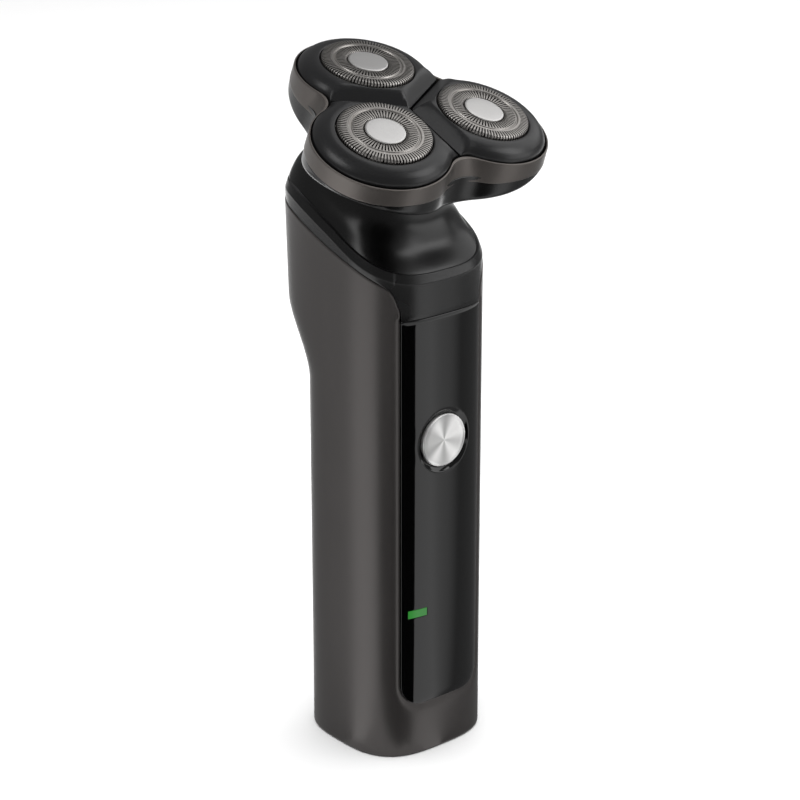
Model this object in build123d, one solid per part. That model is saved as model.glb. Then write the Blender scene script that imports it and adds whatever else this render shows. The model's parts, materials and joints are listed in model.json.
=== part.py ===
from build123d import *
import math
import os

os.makedirs("parts", exist_ok=True)

# A rotary shaver standing on its base: +Z up, the button panel faces -Y, +X is on the right when facing it.
# The origin is the centre of the flat base.  Every length is in millimetres, every angle in degrees.

# Handle: a rounded-square column whose back swells where the motor leans backwards.
HALF_WIDTH = 19.2
HALF_DEPTH = 18.7
SLIM_BACK = 18.5
BULGE_BACK = 28.7
BULGE_DRAFT = 0.045
STEP_LOW = 94.5
STEP_HIGH = 114.5
CORNER_POWER = 3.0
QUARTER_SPANS = 6
WALL = 1.8
SEAM = 0.12

# Front panel, its button and its charge light.
PANEL_HALF = 12.4
PANEL_BOTTOM = 14.0
PANEL_TOP = 116.0
PANEL_CORNER = 5.5
PANEL_THICK = 1.7
BUTTON_Z = 83.4
BUTTON_RADIUS = 6.75
DISH_RADIUS = 8.35
LIGHT_Z = 39.1
LIGHT_X = -8.0
LIGHT_LENGTH = 5.2
LIGHT_HEIGHT = 2.0

# Shaving head: everything above the handle leans forwards and is built about the head axis.
# Along that axis zero is the plane of the cutter tops and the neck lies below it.
HEAD_TILT = 21.0
HEAD_Y = -6.43
HEAD_Z = 165.81
CUTTER_CIRCLE = 17.6
POD_TILT = 4.5
NECK_RADIUS = 12.2
NECK_TOP = -19.1
RIM_INSET = 0.8
RIM_BACK = 29.9

# Shaving head outline: three lobes joined by hollow waists.
POD_LOBE = 16.5
POD_WAIST = 6.0
POD_FACE = -0.8
POD_SEAM = -3.7
BAND_LOW = -8.15
BAND_TOP_LOBE = 17.1
BAND_LOW_LOBE = 17.4
BAND_LOW_WAIST = 12.0
BAND_BORE = 16.8
BOWL_LOBE = 17.2
BOWL_KNEE = 31.0
BOWL_KNEE_RISE = 6.65
BOWL_EDGE = 40.0
BOWL_EDGE_RISE = 5.2
BOWL_FLOOR = 1.2
SECTOR_GAP = 0.5
SECTOR_BEVEL = 0.94

# Cutters and their gear train.
CAP_RADIUS = 11.35
CAP_PLATE = 0.45
CAP_DEPTH = 3.6
CAP_FLANGE = 12.2
DISC_RADIUS = 4.85
BLADES = 15
GEAR_MODULE = 0.8
CENTRE_TEETH = 15
DRIVEN_TEETH = 29
GEAR_LOW = -11.05
GEAR_HIGH = -9.25
BACKLASH = 0.25
COVER_LOW = -8.9
COVER_HIGH = -7.9
HINGE_OUT = 4.0
HINGE_DEPTH = -5.0
HINGE_RADIUS = 0.75
SPRING_RADIUS = 2.45

# Motor and drive line, on the head axis.
MOTOR_FRONT = -33.3
MOTOR_LENGTH = 25.1
MOTOR_RADIUS = 10.05
MOTOR_FLAT = 7.55
SPINDLE_RADIUS = 1.5

# Cell and circuit board.
CELL_RADIUS = 7.1
CELL_LENGTH = 50.0
CELL_Y = 3.6
CELL_Z = 26.0
BOARD_BACK = -9.8
BOARD_THICK = 1.2

POD_NAMES = {"rear": 0, "left": 120, "right": 240}
HEAD = Location(Plane(origin=(0, HEAD_Y, HEAD_Z), x_dir=(1, 0, 0),
                      z_dir=(0, -math.sin(math.radians(HEAD_TILT)), math.cos(math.radians(HEAD_TILT)))))


def save(name, *solids):
    """Write one named piece, or a group of like pieces, to its own STEP file."""
    shapes = [piece for solid in solids for piece in solid.solids()]
    shape = shapes[0] if len(shapes) == 1 else Compound(shapes)
    export_step(shape, f"parts/{name}.step")


def rod(radius, low, high, x=0.0, y=0.0):
    """Upright cylinder between two heights."""
    return Pos(x, y, (low + high) / 2) * Cylinder(radius, high - low)


def ring(outer, inner, low, high, x=0.0, y=0.0):
    """Upright tube between two heights."""
    return rod(outer, low, high, x, y) - rod(inner, low - 1, high + 1, x, y)


def block(x, y, z):
    """Box given by its (low, high) limits on each axis."""
    centre = Pos((x[0] + x[1]) / 2, (y[0] + y[1]) / 2, (z[0] + z[1]) / 2)
    return centre * Box(x[1] - x[0], y[1] - y[0], z[1] - z[0])


def through_front(radius, front, back, x, z):
    """Cylinder lying along Y, for everything that passes through the front panel."""
    return Pos(x, (front + back) / 2, z) * Rot(90, 0, 0) * Cylinder(radius, abs(back - front))


def outline(half_width, front, back, power=CORNER_POWER, centre=0.0):
    """Rounded-square outline, as four quarter curves, with its own depth to the front and the back."""
    compass = [(0, 1), (-1, 0), (0, -1), (1, 0)]
    quarters = []
    for quarter in range(4):
        depth = back if quarter < 2 else front
        points = []
        for k in range(QUARTER_SPANS + 1):
            angle = math.pi / 2 * (quarter + k / QUARTER_SPANS)
            across = abs(math.cos(angle) / half_width) ** power
            along = abs(math.sin(angle) / depth) ** power
            reach = (across + along) ** (-1 / power)
            points.append((reach * math.cos(angle), centre + reach * math.sin(angle)))
        quarters.append(Spline(*points, tangents=[compass[quarter], compass[(quarter + 1) % 4]]))
    return make_face(Wire(quarters))


# ---------------------------------------------------------------- handle skins

def back_depth(height):
    """Depth of the back: slim below, an S-shaped step, then a slow outward draft."""
    share = min(max((height - STEP_LOW) / (STEP_HIGH - STEP_LOW), 0), 1)
    step = share * share * (3 - 2 * share)
    draft = BULGE_DRAFT * max(height - STEP_HIGH, 0)
    return SLIM_BACK + step * (BULGE_BACK - SLIM_BACK) + draft


def column(inset, low=0.0, high=156.0):
    """Solid column with the handle's outer shape, shrunk all round by the inset."""

    def section(height):
        back = back_depth(height) - inset
        return Pos(0, 0, height) * outline(HALF_WIDTH - inset, HALF_DEPTH - inset, back)

    slim = extrude(section(low), STEP_LOW - low)
    spans = 8
    heights = [STEP_LOW + k * (STEP_HIGH - STEP_LOW) / spans for k in range(spans + 1)]
    step = loft([section(height) for height in heights])
    bulge = loft([section(STEP_HIGH), section(high)], ruled=True)
    return slim + step + bulge


def side_region(low_edge):
    """Everything above an edge line drawn on the side of the handle, right through in X."""
    start = low_edge @ 0
    end = low_edge @ 1
    lid = Polyline((0, end.Y, end.Z), (0, end.Y, 190), (0, start.Y, 190), (0, start.Y, start.Z))
    face = make_face(Wire([*low_edge.edges(), *lid.edges()]))
    return extrude(face, 40, dir=(1, 0, 0), both=True)


def shell_edge(drop=0.0):
    """Top edge of the rear shell: along the side, round the front corner, then down to the panel."""
    front = Line((0, -40, PANEL_TOP - drop), (0, -16.9, PANEL_TOP - drop))
    side = Spline((0, -16.9, PANEL_TOP - drop), (0, -16.6, 119 - drop), (0, -14.9, 124 - drop),
                  (0, -8.6, 127.5 - drop), (0, 3, 131.4 - drop), (0, 13, 135.0 - drop),
                  (0, 21, 137.2 - drop), (0, 35, 139.6 - drop))
    return Wire([front, side])


def rim_edge(rise=0.0):
    """Line on the side of the handle where the neck cover rises out of the collar."""
    return Spline((0, -26, 122.6 + rise), (0, -17.9, 126.8 + rise), (0, -6.1, 132.0 + rise), (0, 4, 136.7 + rise),
                  (0, 13, 140.2 + rise), (0, 21, 142.1 + rise), (0, 36, 142.9 + rise))


def panel_prism(grow):
    """Tall window through the front wall, with rounded lower corners."""
    half = PANEL_HALF + grow
    low = PANEL_BOTTOM - grow
    high = PANEL_TOP + 20
    sheet = Pos(0, 0, (low + high) / 2) * Rot(90, 0, 0) * Rectangle(2 * half, high - low)
    prism = extrude(sheet, 26, dir=(0, -1, 0))
    corners = prism.edges().filter_by(Axis.Y).group_by(Axis.Z)[0]
    return fillet(corners, PANEL_CORNER + grow)


def rear_shell(outer, inner):
    """Wrap-round shell: back, both sides and the chin below the panel."""
    wall = outer - inner
    wall -= side_region(shell_edge())
    wall -= panel_prism(SEAM)
    bosses = []
    for height in (30, 70):
        for side in (-1, 1):
            bosses.append(block((min(side * 15.2, side * 17.9), max(side * 15.2, side * 17.9)),
                                (-5.5, -2.0), (height, height + 8)))
    return wall + bosses


def collar(outer, inner):
    """Dark band between the shell and the neck, tallest at the front, with a bevelled top."""
    wall = column(0.15) - inner
    wall &= side_region(shell_edge(-SEAM))
    wall -= side_region(rim_edge())
    return wall


def front_panel(inner):
    """Curved gloss panel with a shallow dish round the button and a slot for the charge light."""
    plate = (column(0.05) - inner) & panel_prism(0)
    plate -= block((-30, 30), (-30, 30), (PANEL_TOP - SEAM, 150))
    dish = Pos(0, -18.05, BUTTON_Z) * Rot(90, 0, 0) * Cone(BUTTON_RADIUS + 0.1, DISH_RADIUS, 1.1)
    plate -= dish
    plate -= through_front(BUTTON_RADIUS + 0.2, -25, -10, 0, BUTTON_Z)
    plate -= light_bar(0.1, -25, -10)
    return plate


def light_bar(grow, front, back):
    """Bar-shaped cutter or window for the charge light."""
    return block((LIGHT_X - LIGHT_LENGTH / 2 - grow, LIGHT_X + LIGHT_LENGTH / 2 + grow), (front, back),
                 (LIGHT_Z - LIGHT_HEIGHT / 2 - grow, LIGHT_Z + LIGHT_HEIGHT / 2 + grow))


# Shares of the way from the rim outline to the round neck, at the front, sides and back.
NECK_STATIONS = [
    (-36.0, 0.0, 0.0, 0.0),
    (-33.0, 0.0, 0.0, 0.01),
    (-30.5, 0.20, 0.10, 0.04),
    (-28.5, 0.42, 0.26, 0.09),
    (-27.0, 0.64, 0.44, 0.16),
    (-25.5, 0.76, 0.58, 0.27),
    (-23.5, 0.84, 0.74, 0.50),
    (-21.5, 0.91, 0.87, 0.78),
    (-20.0, 0.96, 0.95, 0.94),
    (NECK_TOP, 1.0, 1.0, 1.0),
]


def neck_solid(inset):
    """Dome that gathers the handle's outline into the round neck; inset shrinks it all round."""
    sections = []
    for depth, front_share, side_share, back_share in NECK_STATIONS:
        lean = math.radians(HEAD_TILT)
        axis_y = HEAD_Y - depth * math.sin(lean)
        centre = -axis_y / math.cos(lean) * (1 - side_share)
        rim_front = (HALF_DEPTH - RIM_INSET + axis_y) / math.cos(lean)
        rim_back = (RIM_BACK - RIM_INSET - axis_y) / math.cos(lean)
        half_width = (HALF_WIDTH - RIM_INSET) * (1 - side_share) + NECK_RADIUS * side_share
        front = rim_front * (1 - front_share) + NECK_RADIUS * front_share + centre
        back = rim_back * (1 - back_share) + NECK_RADIUS * back_share - centre
        power = CORNER_POWER - side_share
        face = outline(half_width - inset, front - inset, back - inset, power, centre)
        sections.append(Pos(0, 0, depth) * face)
    return loft(sections)


def neck_cover():
    """Gloss neck: the dome, a flat top and the spigot that the shaving head plugs onto."""
    dome = neck_solid(0) - Pos(0, 0, -1.5) * neck_solid(1.6)
    dome += rod(NECK_RADIUS - 0.1, NECK_TOP - 1.4, NECK_TOP)
    dome += rod(9.0, NECK_TOP, -16.4)
    dome -= rod(5.1, -30, -10)
    dome -= Pos(0, 0, -17.7) * Torus(8.45, 0.62)
    dome = HEAD * dome
    return dome & side_region(rim_edge(SEAM))


def base_cap():
    """Flat base that closes the handle, with a port for charging and two screw pockets."""
    cap = extrude(outline(HALF_WIDTH - WALL - SEAM, HALF_DEPTH - WALL - SEAM, SLIM_BACK - WALL - SEAM), 2.4)
    cap -= port_slot(0.15, -1, 4)
    for side in (-1, 1):
        cap -= rod(2.1, -1, 1.5, side * 10.5, -5)
        cap -= rod(1.15, -1, 4, side * 10.5, -5)
    return cap


def port_slot(grow, low, high):
    """Stadium-shaped prism of the charging port."""
    slot = Pos(0, 8, low) * SlotOverall(9.0 + 2 * grow, 3.2 + 2 * grow)
    return extrude(slot, high - low)


def charging_socket():
    """Pressed steel shell of the charging port."""
    return port_slot(0, 0.4, 7.7) - port_slot(-0.3, 0, 7.2)


# ---------------------------------------------------------------- inside the handle

def inner_chassis():
    """Moulded frame that carries the cell behind the circuit board."""
    front = BOARD_BACK + 0.3
    frame = block((-12.5, 12.5), (front, front + 1.6), (12, 104))
    for side in (-1, 1):
        frame += block((min(side * 11, side * 12.5), max(side * 11, side * 12.5)), (front, 9), (12, 80))
        frame += rod(2.3, 2.5, 14, side * 10.5, -5)
    frame += block((-12.5, 12.5), (front, 12), (12, 14))
    frame += block((-12.5, 12.5), (front, 11), (80, 82))
    for side in (-1, 1):
        frame -= rod(0.95, 2, 9.2, side * 10.5, -5)
        frame -= through_front(0.95, -12, -6, side * 6, 100)
    frame -= block((-5.5, 5.5), (4, 13), (11, 15))
    return frame


def circuit_board():
    """Board that carries the switch, the light and the charging parts."""
    board = block((-11, 11), (BOARD_BACK - BOARD_THICK, BOARD_BACK), (18, 96))
    for side in (-1, 1):
        board -= through_front(0.9, -14, -8, side * 9, 21)
    return board


def board_chips():
    """Controller, charger, inductor and capacitors on the front of the board."""
    face = BOARD_BACK - BOARD_THICK
    places = [(0, 56, 5, 4, 1.4), (5.5, 66, 3, 3, 1.0), (-6, 66, 4, 4, 2.2), (6, 30, 4, 5, 1.6),
              (-3, 28, 1.6, 0.8, 0.8), (0, 28, 1.6, 0.8, 0.8), (-5, 50, 1.6, 0.8, 0.8), (6, 50, 1.6, 0.8, 0.8)]
    return [block((x - w / 2, x + w / 2), (face - t, face), (z - h / 2, z + h / 2))
            for x, z, w, h, t in places]


def tact_switch():
    """Push switch body, bored for its plunger."""
    face = BOARD_BACK - BOARD_THICK
    body = block((-3, 3), (face - 3.5, face), (BUTTON_Z - 3, BUTTON_Z + 3))
    return body - through_front(1.85, face - 4, face - 1.6, 0, BUTTON_Z)


def button_seal(behind_panel):
    """Silicone ring pressed against the back of the panel round the button."""
    gasket = through_front(9.4, -18, -15.4, 0, BUTTON_Z) - through_front(8.0, -20, -10, 0, BUTTON_Z)
    return gasket & behind_panel


def indicator_lens(outer):
    """Clear bar that brings the light of the lamp to the panel's face."""
    bar = outer & light_bar(0, -25, -16.0)
    return bar + block((LIGHT_X - 1.4, LIGHT_X + 1.4), (-16.4, -12.6), (LIGHT_Z - 0.8, LIGHT_Z + 0.8))


def battery_tabs():
    """Nickel strips that join the two ends of the cell to the board."""
    top = CELL_Z + CELL_LENGTH
    tabs = []
    for low in (CELL_Z - 0.3, top):
        strip = block((-2.5, 2.5), (BOARD_BACK + 2.2, CELL_Y + 3), (low, low + 0.3))
        tabs.append(strip)
    return tabs


def battery():
    """Rechargeable cell with its raised positive end."""
    cell = rod(CELL_RADIUS, CELL_Z, CELL_Z + CELL_LENGTH, 0, CELL_Y)
    return cell - ring(CELL_RADIUS + 1, 3.2, CELL_Z + CELL_LENGTH - 0.5, CELL_Z + CELL_LENGTH + 1, 0, CELL_Y)


def flatted_can(low, high, radius=MOTOR_RADIUS, flat=MOTOR_FLAT):
    """Round can with two flats, the shape of a small direct-current motor."""
    can = rod(radius, low, high)
    return can & block((-radius, radius), (-flat, flat), (low, high))


def motor_can():
    """Steel can of the motor with the boss of its front bearing."""
    back = MOTOR_FRONT - MOTOR_LENGTH
    can = flatted_can(back, MOTOR_FRONT)
    can += rod(3.0, MOTOR_FRONT, MOTOR_FRONT + 1.5)
    return can - rod(1.05, back - 1, MOTOR_FRONT + 2)


def motor_end_cap():
    """Plastic end of the motor that holds the brushes."""
    back = MOTOR_FRONT - MOTOR_LENGTH
    cap = flatted_can(back - 1.8, back, MOTOR_RADIUS - 0.4, MOTOR_FLAT - 0.4)
    cap += rod(3.0, back - 3.4, back - 1.8)
    return cap - rod(1.05, back - 2.4, back + 1)


def motor_terminals():
    """Two copper tags that take the motor's leads."""
    back = MOTOR_FRONT - MOTOR_LENGTH - 1.8
    return [block((side * 6.5 - 1, side * 6.5 + 1), (-0.25, 0.25), (back - 3.0, back)) for side in (-1, 1)]


def drive_housing():
    """Moulded deck that the motor screws to, with the tube that guides the spindle up the neck."""
    low = MOTOR_FRONT + 0.1
    deck = Pos(0, 0, low) * extrude(outline(14.5, 17.0, 17.0), 1.8)
    deck += rod(5.0, low + 1.8, -16.6)
    deck -= rod(4.2, low - 1, -24.0)
    deck -= rod(3.0, -24.5, -16)
    for side in (-1, 1):
        deck -= rod(1.1, low - 1, low + 3, side * 7.5, 0)
    deck = HEAD * deck
    strut = block((-9, 9), (-11.2, -9.6), (96.5, 134))
    strut -= block((-30, 30), (-30, 30), (60, 190)) & (HEAD * block((-40, 40), (-40, 40), (low + 1, 60)))
    for side in (-1, 1):
        strut -= through_front(1.15, -14, -6, side * 6, 100)
    return deck + strut


def screw(length, head_radius=1.9, shank=0.95):
    """Small cross-head screw hanging below its head, whose top lies at zero."""
    body = rod(head_radius, -1.2, 0) + rod(shank, -length, -1.2)
    for angle in (0, 90):
        body -= Rot(0, 0, angle) * Box(0.5, 2.0, 1.2)
    return body


# ---------------------------------------------------------------- shaving head

def lobes(lobe, waist, height):
    """Three-lobed outline: arcs about the cutter centres joined by hollow waist arcs."""
    half = math.radians(60)
    reach = CUTTER_CIRCLE * math.cos(half) + math.sqrt((lobe + waist) ** 2 - (CUTTER_CIRCLE * math.sin(half)) ** 2)
    arcs = []
    for k in range(3):
        middle = math.radians(90 + 120 * k)
        centre = Vector(CUTTER_CIRCLE * math.cos(middle), CUTTER_CIRCLE * math.sin(middle))
        waists = [Vector(reach * math.cos(middle + s * half), reach * math.sin(middle + s * half)) for s in (-1, 1)]
        joins = [centre + (w - centre).normalized() * lobe for w in waists]
        tip = centre + centre.normalized() * lobe
        arcs.append(ThreePointArc(joins[0], tip, joins[1]))
        following = math.radians(90 + 120 * (k + 1))
        neighbour = Vector(CUTTER_CIRCLE * math.cos(following), CUTTER_CIRCLE * math.sin(following))
        landing = neighbour + (waists[1] - neighbour).normalized() * lobe
        hollow = waists[1] - waists[1].normalized() * waist
        arcs.append(ThreePointArc(joins[1], hollow, landing))
    return Pos(0, 0, height) * make_face(Wire(arcs))


def lobed_prism(lobe, waist, low, high):
    """Upright prism on the three-lobed outline."""
    return extrude(lobes(lobe, waist, low), high - low)


def tilted(shape):
    """Lean a rear-pod shape outwards about its cutter centre."""
    return Pos(0, CUTTER_CIRCLE, 0) * Rot(-POD_TILT, 0, 0) * Pos(0, -CUTTER_CIRCLE, 0) * shape


def triangle(offset, height):
    """Sector of the rear pod as a triangle, moved back from the gap lines by the offset."""
    apex = offset / math.sin(math.radians(60))
    far = 60.0
    wide = (far - apex) * math.tan(math.radians(60))
    return Pos(0, 0, height) * make_face(Polyline((0, apex), (wide, far), (-wide, far), close=True))


def sector(offset, low, high):
    """Straight-sided sector of the rear pod."""
    return extrude(triangle(offset, low), high - low)


def pod_sector(grow=0.0):
    """Sector of one pod: a narrow gap below, then flanks that lean away from the gap."""
    knee = -4.0
    top = 2.0
    gap = SECTOR_GAP + grow
    upper = loft([triangle(gap, knee), triangle(gap + (top - knee) * SECTOR_BEVEL, top)], ruled=True)
    return upper + sector(gap, -9, knee)


def pod_body():
    """Rear pod in its own upright frame: domed cover, bore for the cap and moulded hinge pins."""
    rounding = [(POD_SEAM - 1.9, 0.0), (POD_SEAM, 0.0), (-3.0, 0.4), (-2.2, 1.1), (-1.5, 2.1), (-1.0, 3.2),
                (POD_FACE, 4.2)]
    skin = loft([lobes(POD_LOBE - inset, POD_WAIST + inset, height) for height, inset in rounding[1:]])
    skin += lobed_prism(POD_LOBE, POD_WAIST, rounding[0][0], POD_SEAM)
    cover = tilted(skin) & pod_sector()
    hollow = tilted(lobed_prism(POD_LOBE - 1.3, POD_WAIST + 1.3, -9, -2.9)) & pod_sector(1.2)
    cover -= hollow
    cover += tilted(rod(13.0, -5.8, POD_FACE - 0.3, 0, CUTTER_CIRCLE)) & sector(SECTOR_GAP, -9, 3)
    cover -= tilted(rod(CAP_RADIUS + 0.25, -9, 2, 0, CUTTER_CIRCLE))
    cover -= tilted(rod(CAP_FLANGE + 0.25, -9, -2.8, 0, CUTTER_CIRCLE))
    for side in (-1, 1):
        stub = Pos(side * 14.05, CUTTER_CIRCLE + HINGE_OUT, HINGE_DEPTH) * Rot(0, 90, 0) * Cylinder(HINGE_RADIUS, 2.5)
        cover += tilted(stub)
    return cover


def cutter_cap():
    """Thin cap over one cutter, open below, with a flange that keeps it in its pod."""
    cap = rod(CAP_RADIUS, -CAP_DEPTH, 0)
    cap = fillet(cap.edges().filter_by(GeomType.CIRCLE).group_by(Axis.Z)[-1], 0.5)
    cap += rod(CAP_FLANGE, -CAP_DEPTH, -CAP_DEPTH + 0.6)
    cap -= rod(CAP_RADIUS - 0.4, -5, -CAP_PLATE)
    cap -= ring(8.35, 7.85, -0.15, 1)
    return cap - rod(DISC_RADIUS, -0.25, 1)


def cap_disc():
    """Polished disc in the middle of the cap."""
    disc = rod(DISC_RADIUS - 0.03, -0.25, 0.1)
    return fillet(disc.edges().filter_by(GeomType.CIRCLE).group_by(Axis.Z)[-1], 0.12)


def inner_cutter():
    """Rotating cutter: a carrier disc with upright blades and a hub for the drive pin."""
    carrier = ring(10.7, 7.4, -2.6, -2.1) + rod(2.4, -4.2, -2.1)
    for angle in range(0, 360, 60):
        carrier += Rot(0, 0, angle) * block((-1.0, 1.0), (1.5, 8.0), (-2.6, -2.1))
    for k in range(BLADES):
        blade = Pos(0, 9.1, -1.4) * Rot(0, 25, 0) * Box(0.35, 2.9, 1.9)
        carrier += Rot(0, 0, 360 * k / BLADES) * blade
    carrier &= rod(12, -5, -CAP_PLATE - 0.1)
    return carrier - rod(1.0, -5, -3.0)


def drive_pin():
    """Pin that turns the cutter and telescopes into its gear."""
    return rod(0.98, -4.2, -3.0) + rod(0.8, -9.6, -4.2) + rod(2.8, -5.2, -4.6)


def cutter_retainer():
    """Snap ring that holds the cap and the cutter up in the pod."""
    return ring(CAP_FLANGE + 0.2, 7.0, -5.7, -5.0)


def gear_wheel(teeth, low, high, addendum=1.0):
    """Spur gear with involute flanks."""
    pitch = GEAR_MODULE * teeth / 2
    base = pitch * math.cos(math.radians(20))
    tip = pitch + addendum * GEAR_MODULE
    root = pitch - 1.25 * GEAR_MODULE
    half = math.pi / (2 * teeth) - BACKLASH / (2 * pitch)

    def involute(radius):
        pressure = math.acos(min(1.0, base / radius))
        return math.tan(pressure) - pressure

    radii = [root] + [max(base, root) + (tip - max(base, root)) * k / 4 for k in range(5)]
    flank = [(radius, half + involute(pitch) - involute(max(radius, base))) for radius in radii]
    points = []
    for k in range(teeth):
        centre = math.pi / 2 + 2 * math.pi * k / teeth
        points += [(r * math.cos(centre - a), r * math.sin(centre - a)) for r, a in flank]
        points += [(r * math.cos(centre + a), r * math.sin(centre + a)) for r, a in reversed(flank)]
    return Pos(0, 0, low) * extrude(make_face(Polyline(*points, close=True)), high - low)


def centre_gear():
    """Gear in the middle of the head, with the socket for the spindle."""
    gear = gear_wheel(CENTRE_TEETH, GEAR_LOW, GEAR_HIGH) + rod(3.6, -15.0, GEAR_LOW) + rod(1.5, GEAR_HIGH, -8.1)
    return gear - rod(SPINDLE_RADIUS + 0.08, -16, -10.2)


def driven_gear():
    """Gear under one cutter, with a hub that runs on its axle and takes the drive pin."""
    gear = gear_wheel(DRIVEN_TEETH, GEAR_LOW, GEAR_HIGH, 0.9) + rod(3.0, -14.2, -8.2)
    gear -= rod(1.45, -16, -12.4)
    return gear - rod(2.15, -12.0, -7)


def gear_cover():
    """Deck over the gears, with the ears that carry the pods."""
    deck = lobed_prism(15.9, 13.4, COVER_LOW, COVER_HIGH)
    deck -= rod(1.6, -12, 0)
    for turn in POD_NAMES.values():
        deck -= Rot(0, 0, turn) * rod(3.1, -12, 0, 0, CUTTER_CIRCLE)
        for side in (-1, 1):
            ear = block((side * 13.45 - 0.5, side * 13.45 + 0.5), (-1.4, 1.4), (HINGE_DEPTH - 3.4, HINGE_DEPTH + 1.4))
            bore = Pos(side * 13.45, 0, HINGE_DEPTH) * Rot(0, 90, 0) * Cylinder(HINGE_RADIUS + 0.06, 4)
            ear = tilted(Pos(0, CUTTER_CIRCLE + HINGE_OUT, 0) * (ear - bore))
            deck += Rot(0, 0, turn) * ear
    for place in cover_screw_places():
        deck -= place * Cylinder(1.0, 30)
    return deck


def cover_screw_places():
    """The three waist positions of the screws that close the gear case."""
    return [Rot(0, 0, 60 + 120 * k) * Pos(0, 14.5, 0) for k in range(3)]


def outward(shape):
    """The same piece at each of the three pods."""
    return [Rot(0, 0, turn) * shape for turn in POD_NAMES.values()]


def between(low, high, offset=0.0):
    """Layer of the head between two surfaces that follow the outward lean of the pods."""
    slab = tilted(block((-60, 60), (-60, 90), (low, high))) & sector(offset, -30, 12)
    slabs = outward(slab)
    return slabs[0] + slabs[1] + slabs[2]


def head_band():
    """Bronze trim round the head, between the pods and the bowl."""
    skin = loft([lobes(BAND_TOP_LOBE, POD_WAIST, -1.5), lobes(BAND_LOW_LOBE, BAND_LOW_WAIST, -10.5)], ruled=True)
    skin -= lobed_prism(BAND_BORE, POD_WAIST, -12, 0)
    return skin & between(BAND_LOW, POD_SEAM - 0.1)


def bowl_blank(foot):
    """Shallow dish turned about the head axis from its foot, steeper beyond the knee."""
    dish = Pos(0, 0, foot + BOWL_KNEE_RISE / 2) * Cone(NECK_RADIUS, BOWL_KNEE, BOWL_KNEE_RISE)
    knee = foot + BOWL_KNEE_RISE
    dish += Pos(0, 0, knee + BOWL_EDGE_RISE / 2) * Cone(BOWL_KNEE, BOWL_EDGE, BOWL_EDGE_RISE)
    return dish + rod(BOWL_EDGE, knee + BOWL_EDGE_RISE, 0)


def head_bowl():
    """Bowl under the gears: lobed rim, shallow cone and the socket for the neck."""
    foot = NECK_TOP + 0.15
    blank = bowl_blank(foot)
    bowl = blank & lobed_prism(BOWL_LOBE, BAND_LOW_WAIST, -20, -2)
    bowl = bowl & between(-30, BAND_LOW - 0.1)
    cavity = lobed_prism(15.1, 14.2, -20, 0) & bowl_blank(foot + BOWL_FLOOR)
    cavity &= block((-60, 60), (-60, 60), (-15.2, 0))
    bowl -= cavity
    bowl -= lobed_prism(16.0, 13.3, COVER_LOW, 0)
    bowl -= rod(9.08, -20, -16.3)
    bowl -= rod(2.4, -20, -10)
    for turn in POD_NAMES.values():
        bowl += Rot(0, 0, turn) * rod(3.0, -16.0, -14.4, 0, CUTTER_CIRCLE)
        bowl -= Rot(0, 0, turn) * rod(1.4, -16.0, -10, 0, CUTTER_CIRCLE)
    for place in cover_screw_places():
        bowl += (place * rod(2.2, -16, COVER_LOW)) & blank
        bowl -= place * rod(0.75, -14.5, COVER_LOW + 1)
    return bowl


def gear_axles():
    """Steel pins that the three driven gears turn on."""
    return outward(rod(1.4, -16.0, -12.7, 0, CUTTER_CIRCLE))


def drive_spring():
    """Coil that pushes the drive pin, the cutter and the cap upwards."""
    wire = 0.2
    low = -7.95
    high = -5.75
    path = Pos(0, 0, low) * Helix((high - low) / 3, high - low, SPRING_RADIUS)
    start = path @ 0
    profile = Plane(origin=start, z_dir=path % 0) * Circle(wire)
    return Pos(0, CUTTER_CIRCLE, 0) * sweep(profile, path)


# ---------------------------------------------------------------- build every piece

outer = column(0)
inner = column(WALL, -2, 158)
panel_back = column(PANEL_THICK, -2, 158)

save("rear_shell", rear_shell(outer, inner))
save("collar", collar(outer, inner))
save("front_panel", front_panel(panel_back))
save("neck_cover", neck_cover())
save("base_cap", base_cap())
save("charging_socket", charging_socket())
save("socket_tongue", block((-3.2, 3.2), (7.65, 8.35), (1.2, 7.2)))
save("inner_chassis", inner_chassis())
save("circuit_board", circuit_board())
save("board_chips", *board_chips())
save("tact_switch", tact_switch())
save("indicator_lens", indicator_lens(column(0.08)))
save("indicator_led", block((LIGHT_X - 0.8, LIGHT_X + 0.8), (-12.4, -11.0), (LIGHT_Z - 0.5, LIGHT_Z + 0.5)))
save("battery", battery())
save("battery_tabs", *battery_tabs())
save("motor_can", HEAD * motor_can())
save("motor_end_cap", HEAD * motor_end_cap())
save("motor_terminals", *[HEAD * tag for tag in motor_terminals()])
save("drive_housing", drive_housing())
save("spindle_bearing", HEAD * ring(2.98, SPINDLE_RADIUS + 0.04, -22.5, -18.8))
save("spindle_seal", HEAD * ring(2.98, SPINDLE_RADIUS + 0.1, -18.6, -16.8))
save("neck_seal", HEAD * Pos(0, 0, -17.7) * Torus(8.45, 0.55))
save("button_seal", button_seal(panel_back))
save("case_screws", *[Pos(side * 10.5, -5, 0.3) * Rot(180, 0, 0) * screw(8.5) for side in (-1, 1)],
     *[Pos(side * 6, -12.5, 100) * Rot(90, 0, 0) * screw(4.6) for side in (-1, 1)])
save("motor_screws", *[HEAD * Pos(side * 7.5, 0, MOTOR_FRONT + 3.1) * screw(3.1) for side in (-1, 1)])

button = through_front(BUTTON_RADIUS, -18.6, -17.4, 0, BUTTON_Z)
save("power_button", chamfer(button.edges().group_by(Axis.Y)[0], 0.25))
save("button_stem", through_front(BUTTON_RADIUS, -17.4, -16.4, 0, BUTTON_Z)
     + through_front(7.6, -16.4, -15.8, 0, BUTTON_Z) + through_front(1.5, -15.8, -15.3, 0, BUTTON_Z))
save("switch_plunger", through_front(1.75, -15.3, -13.4, 0, BUTTON_Z))

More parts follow.
